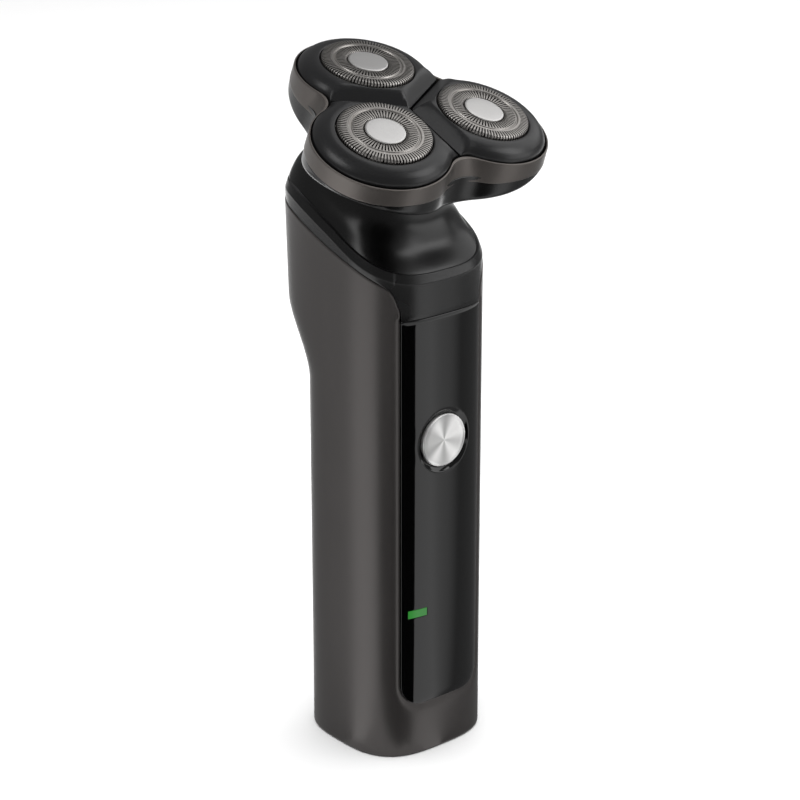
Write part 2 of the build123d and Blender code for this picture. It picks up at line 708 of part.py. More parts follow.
save("motor_shaft", HEAD * rod(1.0, -60.5, -28.0))
save("shaft_coupling", HEAD * (rod(3.0, -30.8, -25.2) - rod(1.0, -31, -28.0) - rod(SPINDLE_RADIUS, -28.0, -25)))
save("drive_spindle", HEAD * rod(SPINDLE_RADIUS, -28.0, -10.6))

save("head_bowl", HEAD * head_bowl())
save("head_band", HEAD * head_band())
save("gear_cover", HEAD * gear_cover())
save("cover_screws", *[HEAD * place * Pos(0, 0, COVER_HIGH + 1.2) * screw(6.0, 1.7, 0.74)
                       for place in cover_screw_places()])
save("gear_axles", *[HEAD * axle for axle in gear_axles()])
save("drive_springs", *[HEAD * spring for spring in outward(drive_spring())])
save("centre_gear", HEAD * centre_gear())

for name, turn in POD_NAMES.items():
    pod_place = HEAD * Rot(0, 0, turn)
    cutter_place = pod_place * tilted(Pos(0, CUTTER_CIRCLE, 0))
    save(f"{name}_pod", pod_place * pod_body())
    save(f"{name}_cap", cutter_place * cutter_cap())
    save(f"{name}_cap_disc", cutter_place * cap_disc())
    save(f"{name}_cutter", cutter_place * inner_cutter())
    save(f"{name}_drive_pin", cutter_place * drive_pin())
    save(f"{name}_retainer", cutter_place * cutter_retainer())
    save(f"{name}_gear", pod_place * Pos(0, CUTTER_CIRCLE, 0) * driven_gear())
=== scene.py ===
import json
import math

import bmesh
import bpy
import numpy as np
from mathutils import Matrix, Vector
from mathutils.geometry import delaunay_2d_cdt


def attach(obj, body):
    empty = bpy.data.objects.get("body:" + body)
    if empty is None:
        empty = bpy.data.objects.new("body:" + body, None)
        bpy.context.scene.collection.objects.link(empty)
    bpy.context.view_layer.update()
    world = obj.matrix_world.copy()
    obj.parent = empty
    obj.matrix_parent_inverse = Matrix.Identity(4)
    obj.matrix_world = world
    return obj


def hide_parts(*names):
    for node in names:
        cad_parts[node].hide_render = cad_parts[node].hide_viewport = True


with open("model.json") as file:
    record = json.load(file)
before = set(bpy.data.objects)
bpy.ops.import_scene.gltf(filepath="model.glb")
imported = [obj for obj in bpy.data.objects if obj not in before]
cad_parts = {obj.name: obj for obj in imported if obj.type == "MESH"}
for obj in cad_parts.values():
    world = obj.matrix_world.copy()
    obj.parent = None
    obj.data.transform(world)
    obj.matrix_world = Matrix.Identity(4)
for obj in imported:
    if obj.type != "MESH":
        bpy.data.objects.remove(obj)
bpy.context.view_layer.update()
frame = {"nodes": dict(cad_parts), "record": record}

# Lengths are in millimetres until a mesh is made; MM turns them into metres.
MM = 0.001
SMOOTH_ANGLE = math.radians(38)
WELD_DISTANCE = 0.002

# Handle
HALF_WIDTH = 19.2
HALF_DEPTH = 18.7
SLIM_BACK = 18.5
BULGE_BACK = 28.7
BULGE_DRAFT = 0.045
STEP_LOW = 94.5
STEP_HIGH = 114.5
CORNER_POWER = 3.0
WALL = 1.8
SEAM = 0.12
PANEL_HALF = 12.4
PANEL_BOTTOM = 14.0
PANEL_TOP = 116.0
PANEL_CORNER = 5.5
PANEL_THICK = 1.7
BUTTON_Z = 83.4
BUTTON_RADIUS = 6.75
DISH_RADIUS = 8.35
DISH_DEPTH = 0.75
LIGHT_Z = 39.1
LIGHT_X = -8.0
LIGHT_LENGTH = 5.2
LIGHT_HEIGHT = 2.0
LIP_WIDTH = 1.5
LIP_EXTRA_LOW = 1.3
LIP_DEPTH = 0.62
COLLAR_BEVEL = 1.9
# Edges on the side of the handle as (depth, height)
SHELL_EDGE = [(-16.9, 116), (-16.6, 119), (-14.9, 124), (-8.6, 127.5), (3, 131.4), (13, 135), (21, 137.2),
              (35, 139.6)]
RIM_EDGE = [(-26, 122.6), (-17.9, 126.8), (-6.1, 132), (4, 136.7), (13, 140.2), (21, 142.1), (36, 142.9)]

# Head: positions along the head axis, zero at the cutter tops
HEAD_TILT = math.radians(21)
HEAD_Y = -6.43
HEAD_Z = 165.81
CUTTER_CIRCLE = 17.6
POD_TILT = math.radians(4.5)
NECK_RADIUS = 12.2
NECK_TOP = -19.1
RIM_INSET = 0.8
RIM_BACK = 29.9
NECK_WALL = 1.6
# How far the neck has drawn in at a level: level, then the share at the front, the sides and the back
NECK_STATIONS = [
    (-36.0, 0.0, 0.0, 0.0), (-33.0, 0.0, 0.0, 0.01), (-30.5, 0.35, 0.17, 0.04), (-28.5, 0.54, 0.34, 0.09),
    (-27.0, 0.65, 0.49, 0.16), (-25.5, 0.75, 0.61, 0.27), (-23.5, 0.84, 0.74, 0.50),
    (-21.5, 0.91, 0.87, 0.78), (-20.0, 0.96, 0.95, 0.94), (NECK_TOP, 1.0, 1.0, 1.0)]
# Profiles turned about an axis, as (radius, height)
SPIGOT_PROFILE = [
    (12.12, -19.16), (12.0, -19.1), (9.2, -19.1), (9.0, -19.0), (9.0, -18.35), (8.4, -18.25), (8.4, -17.15),
    (9.0, -17.05), (9.0, -16.7), (8.75, -16.4), (5.3, -16.4), (5.1, -16.55), (5.1, -20.6), (10.5, -20.6)]
SOCKET_PROFILE = [(9.08, -16.3), (2.5, -16.3), (2.4, -16.2), (2.4, -15.3), (2.6, -15.2), (9.0, -15.2)]
BUTTON_PROFILE = [
    (0, -17.4), (6.7, -17.4), (6.75, -17.5), (6.75, -18.25), (6.7, -18.45), (6.6, -18.57), (6.45, -18.62),
    (6.28, -18.6), (6.15, -18.52), (6.05, -18.48), (5.0, -18.43), (3.4, -18.38), (1.5, -18.36), (0, -18.36)]
DISC_PROFILE = [
    (0, -0.55), (4.3, -0.55), (4.82, -0.5), (4.85, -0.4), (4.85, -0.08), (4.78, 0.03), (4.62, 0.085),
    (4.4, 0.1), (2.5, 0.12), (0, 0.125)]
POD_LOBE = 16.5
POD_WAIST = 6.0
POD_SEAM = -3.7
POD_FOOT = -5.6
BAND_LOW = -8.15
SECTOR_GAP = 0.5
SECTOR_BEVEL = 0.94
POD_DOME_RISE = 2.9
POD_DOME_RUN = 4.2
APEX_ROUND = 1.4
BAND_LOBE = 17.1
BAND_FLARE = 0.22
BAND_WAIST = 6.0
BAND_WAIST_FLARE = 6.0
BAND_SHARE_TOP = 0.2
BAND_SHARE_RUN = 0.72
BAND_DIP = 1.6
BAND_DIP_START = 33.0
BAND_DIP_RUN = 10.0
BOWL_LOBE = 17.2
BOWL_WAIST = 12.0
BOWL_ROLL = 1.3
BOWL_SHARES = (0.997, 0.99, 0.978, 0.965, 0.95, 0.93, 0.9, 0.86, 0.8, 0.7, 0.58, 0.44, 0.3, 0.16, 0.06,
               0.015, 0.0)
KNEE_RADIUS = 31.0
KNEE_RISE = 6.65
EDGE_RADIUS = 40.0
EDGE_RISE = 5.2
CAP_RADIUS = 11.35
CAP_SHEET = 0.3
CAP_COLUMNS = 720
CAP_PROFILE = [
    (5.02, -1.3), (5.02, -0.7), (5.06, -0.38), (5.18, -0.18), (5.4, -0.06), (5.7, 0.0), (6.8, 0.0),
    (7.8, 0.0), (7.94, -0.03), (8.02, -0.16), (8.12, -0.24), (8.34, -0.24), (8.44, -0.14), (8.52, 0.02),
    (8.66, 0.05), (8.84, 0.0), (9.1, 0.0), (9.8, 0.0), (10.4, -0.02), (10.75, -0.07), (11.05, -0.17),
    (11.24, -0.34), (11.33, -0.6), (11.35, -1.0), (11.35, -1.6), (11.35, -2.2), (11.35, -2.95),
    (11.45, -3.05), (12.15, -3.05), (12.2, -3.1), (12.2, -3.5)]
# Slotted rows of the cap's profile, and how many columns one slot and one rib take
INNER_SLOTS = (1, 7)
INNER_PITCH = 12
OUTER_SLOTS = (16, 25)
OUTER_PITCH = 8
POD_TURNS = {"rear": 0, "left": 120, "right": 240}

# Finishes
# Pointiness range over which convex edges are lightened: painted edge highlights.
PAINTED_EDGE_START = 0.53
PAINTED_EDGE_FULL = 0.62
GRAIN_DISTANCE = 0.0002
# Painted highlights on the button: brightness of its radial bright sectors, as (share of a turn, brightness)
PAINTED_HIGHLIGHT_STOPS = ((0.07, 0.5), (0.15, 1.0), (0.25, 0.55), (0.34, 0.95), (0.45, 0.6), (0.55, 0.95), (0.64, 1.0),
               (0.74, 0.5), (0.82, 1.0), (0.92, 0.6))

# Studio and camera: metres and degrees, except where MM is named
FLOOR_HALF = 6.0
CARD_NEAR = 0.004
CARD_FAR = 0.5
CARD_LIFT = 0.6
CARD_STEPS = 12
CAMERA_AZIMUTH = -40.233
CAMERA_ELEVATION = 20.859
CAMERA_DISTANCE = 0.63205
CAMERA_TARGET = (0, -0.00175, 0.08894)
CAMERA_LENS = 115.09


# ---------------------------------------------------------------- small helpers

def smooth_chain(points, steps=24):
    """Dense smooth curve through a few guide points, as an array of points."""
    p = np.array(points, float)
    p = np.vstack([2 * p[0] - p[1], p, 2 * p[-1] - p[-2]])
    t = np.linspace(0, 1, steps, endpoint=False)[:, None]
    runs = []
    for a, b, c, d in zip(p, p[1:], p[2:], p[3:]):
        square, cube = 2 * a - 5 * b + 4 * c - d, 3 * b - a - 3 * c + d
        runs.append(0.5 * (2 * b + (c - a) * t + square * t ** 2 + cube * t ** 3))
    return np.vstack(runs + [p[-2:-1]])


def natural_spline(xs, ys):
    """Function that runs a natural cubic through the given values."""
    xs = np.array(xs, float)
    ys = np.array(ys, float)
    gap = np.diff(xs)
    n = len(xs)
    system = np.eye(n)
    right = np.zeros(n)
    for i in range(1, n - 1):
        system[i, i - 1:i + 2] = gap[i - 1], 2 * (gap[i - 1] + gap[i]), gap[i]
        right[i] = 6 * ((ys[i + 1] - ys[i]) / gap[i] - (ys[i] - ys[i - 1]) / gap[i - 1])
    bend = np.linalg.solve(system, right)

    def value(x):
        """Value of the curve at x."""
        i = np.clip(np.searchsorted(xs, x) - 1, 0, n - 2)
        a = xs[i + 1] - x
        b = x - xs[i]
        h = gap[i]
        cubic = (bend[i] * a ** 3 + bend[i + 1] * b ** 3) / (6 * h)
        return cubic + (ys[i] / h - bend[i] * h / 6) * a + (ys[i + 1] / h - bend[i + 1] * h / 6) * b
    return value


def polygon_contains(points, loop):
    """True for the points inside a closed loop."""
    x, y = points[:, 0:1], points[:, 1:2]
    a = loop
    b = np.roll(loop, -1, axis=0)
    crosses = (a[:, 1] > y) != (b[:, 1] > y)
    slope = (b[:, 0] - a[:, 0]) / np.where(b[:, 1] == a[:, 1], 1e-12, b[:, 1] - a[:, 1])
    return (crosses & (x < a[:, 0] + slope * (y - a[:, 1]))).sum(1) % 2 == 1


def distance_to(points, chain, closed=True):
    """Shortest distance from each point to a chain of straight runs."""
    a = chain if closed else chain[:-1]
    b = np.roll(chain, -1, axis=0) if closed else chain[1:]
    run = b - a
    square = np.maximum((run ** 2).sum(1), 1e-12)
    nearest = np.full(len(points), 1e9)
    for start in range(0, len(points), 2000):
        p = points[start:start + 2000, None, :]
        share = np.clip(((p - a) * run).sum(2) / square, 0, 1)
        gaps = np.linalg.norm(p - a - share[..., None] * run, axis=2)
        nearest[start:start + 2000] = gaps.min(1)
    return nearest


def resample(chain, spacing, closed=True):
    """The same chain with evenly spaced points that keep its corners close."""
    p = np.vstack([chain, chain[:1]]) if closed else chain
    length = np.concatenate([[0], np.cumsum(np.linalg.norm(np.diff(p, axis=0), axis=1))])
    count = max(3, int(round(length[-1] / spacing)))
    at = np.linspace(0, length[-1], count, endpoint=not closed)
    return np.column_stack([np.interp(at, length, p[:, 0]), np.interp(at, length, p[:, 1])])


def inward_ring(loop, offset, sign):
    """A closed loop moved sideways by the offset, less the points that come too near the loop again."""
    ahead = np.roll(loop, -1, axis=0) - np.roll(loop, 1, axis=0)
    ahead /= np.maximum(np.linalg.norm(ahead, axis=1, keepdims=True), 1e-9)
    moved = loop + sign * offset * np.column_stack([-ahead[:, 1], ahead[:, 0]])
    return moved[distance_to(moved, loop) > 0.93 * offset]


def fill_region(outer, holes=(), rings=(0.12, 0.3, 0.6, 1.0), grid=1.3, extra=None):
    """Triangles over a flat region: fine rings beside its edges and an even grid inside.
    The outer loop runs anticlockwise and so do the holes."""
    edges = []
    points = []
    total = 0
    for loop in (outer, *holes):
        points.append(loop)
        count = len(loop)
        edges += [(total + i, total + (i + 1) % count) for i in range(count)]
        total += count
    inside = [inward_ring(outer, r, 1) for r in rings]
    for hole in holes:
        inside += [inward_ring(hole, r, -1) for r in rings]
    low, high = outer.min(0), outer.max(0)
    middle = (low[0] + high[0]) / 2
    across = np.arange(0, (high[0] - low[0]) / 2, grid)
    across = np.concatenate([middle - across[:0:-1], middle + across])
    up = np.arange(low[1] + grid / 2, high[1], grid)
    cells = np.array([(x, y) for y in up for x in across])
    if extra is not None:
        cells = np.vstack([cells, extra])
    margin = (rings[-1] if len(rings) else 0) + 0.45 * grid
    keep = distance_to(cells, outer) > margin
    for hole in holes:
        keep &= distance_to(cells, hole) > margin
    inside.append(cells[keep])
    inner = np.vstack(inside)
    keep = polygon_contains(inner, outer)
    for hole in holes:
        keep &= ~polygon_contains(inner, hole)
    points.append(inner[keep])
    flat = np.vstack(points)
    found = delaunay_2d_cdt([Vector(p) for p in flat], edges, [], 0, 1e-5)
    verts = np.array([tuple(v) for v in found[0]])
    tris = np.array([f for f in found[2] if len(f) == 3])
    centres = verts[tris].mean(1)
    keep = polygon_contains(centres, outer)
    for hole in holes:
        keep &= ~polygon_contains(centres, hole)
    return verts, tris[keep]


def add_object(name, data):
    """New object in the scene."""
    made = bpy.data.objects.new(name, data)
    bpy.context.scene.collection.objects.link(made)
    return made


def make(name, verts, faces, body, slot, replaces, material=None, weld=False):
    """One finished piece: mesh, smooth shading, the finish of its slot and its body; the node that it stands
    for is hidden.
    """
    mesh = bpy.data.meshes.new(name)
    mesh.from_pydata((np.asarray(verts) * MM).tolist(), [], [list(map(int, f)) for f in faces])
    tidy = bmesh.new()
    tidy.from_mesh(mesh)
    if weld:
        bmesh.ops.remove_doubles(tidy, verts=tidy.verts, dist=WELD_DISTANCE * MM)
    loose = [v for v in tidy.verts if not v.link_faces]
    bmesh.ops.delete(tidy, geom=loose, context="VERTS")
    bmesh.ops.recalc_face_normals(tidy, faces=tidy.faces)
    tidy.to_mesh(mesh)
    tidy.free()
    mesh.shade_smooth()
    mesh.set_sharp_from_angle(angle=SMOOTH_ANGLE)
    piece = add_object(name, mesh)
    mesh.materials.append(material or FINISH[slot])
    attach(piece, body)
    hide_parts(replaces)


def two_sided(outer, inner, tris, skip=None):
    """Closed solid between two layers that share their triangles."""
    count = len(outer)
    faces = [tuple(t) for t in tris] + [(t[0] + count, t[2] + count, t[1] + count) for t in tris]
    used = {}
    for t in tris:
        for a, b in ((t[0], t[1]), (t[1], t[2]), (t[2], t[0])):
            used[(a, b)] = True
    for a, b in used:
        if (b, a) not in used and not (skip is not None and skip[a] and skip[b]):
            faces.append((b, a, a + count, b + count))
    return np.vstack([outer, inner]), faces


def grid_faces(rows, columns, wrap_rows=False):
    """Quads over a grid whose columns close round on themselves."""
    faces = []
    for i in range(rows if wrap_rows else rows - 1):
        for j in range(columns):
            k = (j + 1) % columns
            n = (i + 1) % rows
            faces.append((i * columns + j, i * columns + k, n * columns + k, n * columns + j))
    return faces


def tube(rows):
    """Closed solid through rings of points, the last joined back to the first."""
    return np.vstack(rows), grid_faces(len(rows), len(rows[0]), wrap_rows=True)


def roll(distance, radius, deep=None):
    """How far a surface has sunk at some distance from its rounded edge."""
    near = np.clip(1 - distance / radius, 0, 1)
    return (radius if deep is None else deep) * (1 - np.sqrt(1 - near ** 2))


def ease(value):
    """Smooth step from nought to one."""
    t = np.clip(value, 0, 1)
    return t * t * (3 - 2 * t)


def spun(profile, columns):
    """Points turned about the upright axis, one row for each (radius, height) of the profile."""
    angles = np.linspace(0, 2 * math.pi, columns, endpoint=False)
    across, along = np.cos(angles), np.sin(angles)
    return np.vstack([np.column_stack([r * across, r * along, np.full(columns, z)]) for r, z in profile])


def disc_solid(profile, columns=128):
    """Solid turned from an open profile that starts and ends on the axis."""
    rows = len(profile) - 2
    faces = grid_faces(rows, columns)
    verts = np.vstack([spun(profile[1:-1], columns), [(0, 0, profile[0][1]), (0, 0, profile[-1][1])]])
    bottom, top = len(verts) - 2, len(verts) - 1
    last = (rows - 1) * columns
    for j in range(columns):
        k = (j + 1) % columns
        faces.append((bottom, k, j))
        faces.append((top, last + j, last + k))
    return verts, faces


# ---------------------------------------------------------------- places

def head_place(points):
    """From the head's own axes to the object's."""
    x, y, n = np.asarray(points, float).T
    c, s = math.cos(HEAD_TILT), math.sin(HEAD_TILT)
    return np.column_stack([x, HEAD_Y + y * c - n * s, HEAD_Z + y * s + n * c])


def pod_place(points, turn):
    """From a leaning rear pod's axes, through its place round the head, to the object's."""
    x, y, n = np.asarray(points, float).T
    c, s = math.cos(POD_TILT), math.sin(POD_TILT)
    out = y - CUTTER_CIRCLE
    y, n = CUTTER_CIRCLE + out * c + n * s, -out * s + n * c
    c, s = math.cos(math.radians(turn)), math.sin(math.radians(turn))
    return head_place(np.column_stack([x * c - y * s, x * s + y * c, n]))


def cutter_place(points, turn):
    """From a cutter's own axes, centred on its top, to the object's."""
    return pod_place(np.asarray(points, float) + (0, CUTTER_CIRCLE, 0), turn)


# ---------------------------------------------------------------- handle surface

def back_depth(z):
    """How far the back lies behind the axis at a height: slim below, an S-shaped step, a slow draft above."""
    step = ease((z - STEP_LOW) / (STEP_HIGH - STEP_LOW))
    return SLIM_BACK + step * (BULGE_BACK - SLIM_BACK) + BULGE_DRAFT * np.maximum(z - STEP_HIGH, 0)


def reach(angle, half_width, front, back, power):
    """Point of a rounded-square outline in the direction of an angle."""
    c, s = np.cos(angle), np.sin(angle)
    depth = np.where(s >= 0, back, front)
    r = (np.abs(c / half_width) ** power + np.abs(s / depth) ** power) ** (-1 / power)
    return r * c, r * s


TURN_SAMPLES = np.linspace(0, math.pi, 1441)


def slim_arc():
    """Arc length from the front centre line round the slim section, at each sampled turn."""
    x, y = reach(TURN_SAMPLES - math.pi / 2, HALF_WIDTH, HALF_DEPTH, SLIM_BACK, CORNER_POWER)
    return np.concatenate([[0], np.cumsum(np.hypot(np.diff(x), np.diff(y)))])


ARC = slim_arc()
HALF_GIRTH = ARC[-1]


def angle_at(s):
    """Direction of the point at an arc position, from the front centre line."""
    return -math.pi / 2 + np.sign(s) * np.interp(np.abs(s), ARC, TURN_SAMPLES)


def skin_point(s, z):
    """Point on the handle at an arc position and a height."""
    x, y = reach(angle_at(s), HALF_WIDTH, HALF_DEPTH, back_depth(z), CORNER_POWER)
    return np.column_stack([x, y, z])


def skin(flat, sunk):
    """Points on the handle at (arc, height), sunk below its surface."""
    s, z = flat[:, 0], flat[:, 1]
    step = 0.02
    side = skin_point(s + step, z) - skin_point(s - step, z)
    up = skin_point(s, z + step) - skin_point(s, z - step)
    normal = np.cross(side, up)
    normal /= np.linalg.norm(normal, axis=1, keepdims=True)
    return skin_point(s, z) - normal * np.reshape(sunk, (-1, 1))


def arc_of_x(x):
    """Arc position of a point on the front wall, from how far across it lies."""
    front_x = reach(TURN_SAMPLES - math.pi / 2, HALF_WIDTH, HALF_DEPTH, SLIM_BACK, CORNER_POWER)[0]
    half = int(np.argmax(front_x))
    return np.sign(x) * np.interp(np.abs(x), front_x[:half], ARC[:half])


def arc_of_y(y, z):
    """Arc position on the +X side of a point given by its depth and height."""
    low, high = np.zeros_like(y), np.full_like(y, HALF_GIRTH)
    for _ in range(40):
        mid = (low + high) / 2
        here = skin_point(mid, z)[:, 1]
        low = np.where(here < y, mid, low)
        high = np.where(here < y, high, mid)
    return (low + high) / 2


SHELL_LINE = smooth_chain(SHELL_EDGE)
RIM_LINE = smooth_chain(RIM_EDGE)


def shell_height(y):
    """Height of the shell's top edge at a depth."""
    return np.where(y < SHELL_EDGE[0][0], PANEL_TOP, np.interp(y, SHELL_LINE[:, 0], SHELL_LINE[:, 1]))


def rim_height(y):
    """Height of the collar's top rim at a depth."""
    return np.interp(y, RIM_LINE[:, 0], RIM_LINE[:, 1])


def panel_outline(grow, top):
    """Panel window in (arc, height), from top right down, round its lower corners and up to top left."""
    half = PANEL_HALF + grow
    low = PANEL_BOTTOM - grow
    corner = PANEL_CORNER + grow
    turn = np.linspace(0, math.pi / 2, 16)
    right = np.column_stack([half - corner + corner * np.cos(turn), low + corner - corner * np.sin(turn)])
    chain = np.vstack([[(half, top)], right, right[::-1] * (-1, 1), [(-half, top)]])
    chain = resample(chain, 0.5, closed=False)
    return np.column_stack([arc_of_x(chain[:, 0]), chain[:, 1]])


def shell_outline():
    """Shell in (arc, height), cut open down the middle of the back; anticlockwise from the lower left."""
    gap = arc_of_x(np.array([PANEL_HALF + SEAM]))[0]
    along = SHELL_LINE[SHELL_LINE[:, 0] <= back_depth(139.0)]
    crest = np.column_stack([arc_of_y(along[:, 0], along[:, 1]), along[:, 1]])
    last = shell_height(np.array([back_depth(138.9)]))
    crest = np.vstack([crest[crest[:, 0] < HALF_GIRTH - 0.3], [(HALF_GIRTH, last[0])]])
    crest = np.vstack([[(gap, PANEL_TOP)], crest[crest[:, 0] > gap + 0.2]])
    crest = resample(crest, 0.5, closed=False)
    window = panel_outline(SEAM, PANEL_TOP)
    seam = resample(np.column_stack([np.full(2, HALF_GIRTH), [0, last[0]]]), 0.9, closed=False)
    bottom = resample(np.array([(-HALF_GIRTH, 0), (HALF_GIRTH, 0)]), 0.7, closed=False)
    mirror = (-1, 1)
    loop = np.vstack([bottom[:-1], seam[:-1], crest[::-1][:-1], window[:-1],
                      (crest * mirror)[:-1], seam[::-1][:-1] * mirror])
    return loop, crest, window


# ---------------------------------------------------------------- materials

def add_node(tree, kind, **values):
    """New shader node with some of its settings."""
    made = tree.nodes.new("ShaderNode" + kind)
    for key, value in values.items():
        setattr(made, key, value)
    return made


def set_inputs(node, **values):
    """Set a node's inputs; an underscore stands for the space in an input's name."""
    for name, value in values.items():
        node.inputs[name.replace("_", " ")].default_value = value


def wire(source, output, target, name):
    """Link an output of one node to an input of another."""
    source.id_data.links.new(source.outputs[output], target.inputs[name])


def new_material(name):
    """New node material, as its tree and its main shader as well."""
    material = bpy.data.materials.new(name)
    material.use_nodes = True
    return material, material.node_tree, material.node_tree.nodes["Principled BSDF"]


def opaque(colour):
    """The colour with full alpha."""
    return tuple(colour) + (1,)


def node_material(name, colour, metallic=0.0, roughness=0.4, coat=0.0, coat_roughness=0.1,
                  grain=900.0, grain_bump=0.02, tint=0.06, rough_spread=0.06, painted_edge_light=0.0, painted_edge_colour=None):
    """Procedural finish: fine grain, slow colour and roughness drift, and convex edges lightened as painted
    edge highlights.
    """
    material, tree, shader = new_material(name)
    set_inputs(shader, Metallic=metallic, Coat_Weight=coat, Coat_Roughness=coat_roughness,
               Specular_IOR_Level=0.5)
    place = add_node(tree, "TexCoord")
    slow = add_node(tree, "TexNoise")
    set_inputs(slow, Scale=45.0, Detail=3.0)
    fine = add_node(tree, "TexNoise")
    set_inputs(fine, Scale=grain, Detail=2.0)
    wire(place, "Object", slow, "Vector")
    wire(place, "Object", fine, "Vector")

    base = add_node(tree, "MixRGB")
    set_inputs(base, Color1=opaque(c * (1 - tint) for c in colour),
               Color2=opaque(min(1, c * (1 + tint)) for c in colour))
    wire(slow, "Fac", base, "Fac")
    # Convex edges, found by pointiness, are lightened towards a paler colour: painted edge highlights.
    if painted_edge_light:
        edge = add_node(tree, "NewGeometry")
        ramp = add_node(tree, "MapRange")
        set_inputs(ramp, From_Min=PAINTED_EDGE_START, From_Max=PAINTED_EDGE_FULL, To_Max=painted_edge_light)
        wire(edge, "Pointiness", ramp, "Value")
        edge_lit = add_node(tree, "MixRGB")
        set_inputs(edge_lit, Color2=opaque(painted_edge_colour or (min(1, c * 2.2) for c in colour)))
        wire(ramp, "Result", edge_lit, "Fac")
        wire(base, "Color", edge_lit, "Color1")
        base = edge_lit
    wire(base, "Color", shader, "Base Color")

    spread = add_node(tree, "MapRange")
    set_inputs(spread, To_Min=max(0.02, roughness - rough_spread), To_Max=roughness + rough_spread)
    wire(slow, "Fac", spread, "Value")
    wire(spread, "Result", shader, "Roughness")
    bump = add_node(tree, "Bump")
    set_inputs(bump, Strength=grain_bump, Distance=GRAIN_DISTANCE)
    wire(fine, "Fac", bump, "Height")
    wire(bump, "Normal", shader, "Normal")
    return material


# Each look's edge-light amount and colour lighten its convex edges: painted edge highlights.
LOOKS = {
    "bronze_lacquer": dict(colour=(0.066, 0.0605, 0.0585), metallic=0.65, roughness=0.38, grain=5200,
        grain_bump=0.05, coat=0.1, coat_roughness=0.3, painted_edge_light=0.25),
    "band_bronze": dict(colour=(0.12, 0.108, 0.1), metallic=0.7, roughness=0.4, grain=5200, grain_bump=0.05,
        coat=0.1, coat_roughness=0.3, painted_edge_light=0.3),
    "panel_gloss": dict(colour=(0.001, 0.001, 0.0011), roughness=0.06, rough_spread=0.02, grain=300,
        grain_bump=0.002, painted_edge_light=0.1),
    "collar_satin": dict(colour=(0.004, 0.004, 0.0042), roughness=0.26, grain=4200, grain_bump=0.06,
        painted_edge_light=0.35, painted_edge_colour=(0.08, 0.08, 0.082)),
    "neck_gloss": dict(colour=(0.0015, 0.0015, 0.0016), roughness=0.26, rough_spread=0.03, grain=300,
        grain_bump=0.003, painted_edge_light=0.1),
    "pod_black": dict(colour=(0.007, 0.007, 0.0075), roughness=0.3, grain=4200, grain_bump=0.05,
        rough_spread=0.05, painted_edge_light=0.2),
    "black_plastic": dict(colour=(0.018, 0.018, 0.019), roughness=0.5, grain=3500, grain_bump=0.12, painted_edge_light=0.2),
    "grey_plastic": dict(colour=(0.22, 0.23, 0.24), roughness=0.5, grain=2500, grain_bump=0.1, painted_edge_light=0.15),
    "gear_nylon": dict(colour=(0.72, 0.7, 0.64), roughness=0.45, grain=2500, grain_bump=0.06),
    "board_green": dict(colour=(0.01, 0.1, 0.035), roughness=0.3, grain=1500, grain_bump=0.08, tint=0.2),
    "chip_black": dict(colour=(0.015, 0.015, 0.016), roughness=0.55, grain=4000, grain_bump=0.1),
    "lamp_white": dict(colour=(0.8, 0.8, 0.72), roughness=0.3),
    "silver_button": dict(colour=(0.62, 0.61, 0.6), metallic=1.0, roughness=0.3, grain=900, grain_bump=0.1,
        painted_edge_light=0.5, painted_edge_colour=(0.9, 0.9, 0.9)),
    "cap_steel": dict(colour=(0.42, 0.4, 0.38), metallic=1.0, roughness=0.34, grain=2600, grain_bump=0.08,
        painted_edge_light=0.5, painted_edge_colour=(0.75, 0.73, 0.71)),
    "disc_steel": dict(colour=(0.78, 0.77, 0.76), metallic=1.0, roughness=0.38, grain=1800, grain_bump=0.05,
        tint=0.03),
    # Blade steel is dark: painted shade for the cutters that sit in shadow inside the caps.
    "blade_steel": dict(colour=(0.16, 0.155, 0.15), metallic=1.0, roughness=0.35, grain=2600,
        grain_bump=0.08),
    "plain_steel": dict(colour=(0.55, 0.55, 0.55), metallic=1.0, roughness=0.3, grain=2600, grain_bump=0.06),
    "motor_steel": dict(colour=(0.6, 0.6, 0.57), metallic=1.0, roughness=0.25, grain=2000, grain_bump=0.04,
        tint=0.1),
    "sintered_bronze": dict(colour=(0.45, 0.3, 0.15), metallic=1.0, roughness=0.5, grain=6000, grain_bump=0.3,
        tint=0.15),
    "copper_tag": dict(colour=(0.75, 0.42, 0.26), metallic=1.0, roughness=0.35, grain=2000, grain_bump=0.05,
        tint=0.12),
    "black_rubber": dict(colour=(0.015, 0.015, 0.015), roughness=0.7, grain=3000, grain_bump=0.2),
    "cell_wrap": dict(colour=(0.03, 0.16, 0.36), roughness=0.3, coat=0.3, grain=600, grain_bump=0.05),
}
FINISH = {name: node_material(name, **look) for name, look in LOOKS.items()}


def lens_material():
    """Green light bar that is a little brighter at its outer end."""
    material = node_material("green_lens", (0.012, 0.09, 0.012), roughness=0.25, grain=800, grain_bump=0.02)
    tree = material.node_tree
    shader = tree.nodes["Principled BSDF"]
    place = add_node(tree, "TexCoord")
    split = add_node(tree, "SeparateXYZ")
    fade = add_node(tree, "MapRange")
    half = LIGHT_LENGTH / 2
    set_inputs(fade, From_Min=(LIGHT_X - half) * MM, From_Max=(LIGHT_X + half) * MM, To_Min=0.2, To_Max=0.14)
    set_inputs(shader, Emission_Color=(0.06, 0.8, 0.08, 1))
    wire(place, "Object", split, "Vector")
    wire(split, "X", fade, "Value")
    wire(fade, "Result", shader, "Emission Strength")
    return material


FINISH["green_lens"] = lens_material()


def dress_nodes():
    """Every carried CAD node gets the finish of its material slot."""
    for part in frame["record"]["subparts"]:
        node = frame["nodes"][part["node"]]
        node.data.materials.clear()
        node.data.materials.append(FINISH[part["material_slot"]])


# ---------------------------------------------------------------- handle pieces

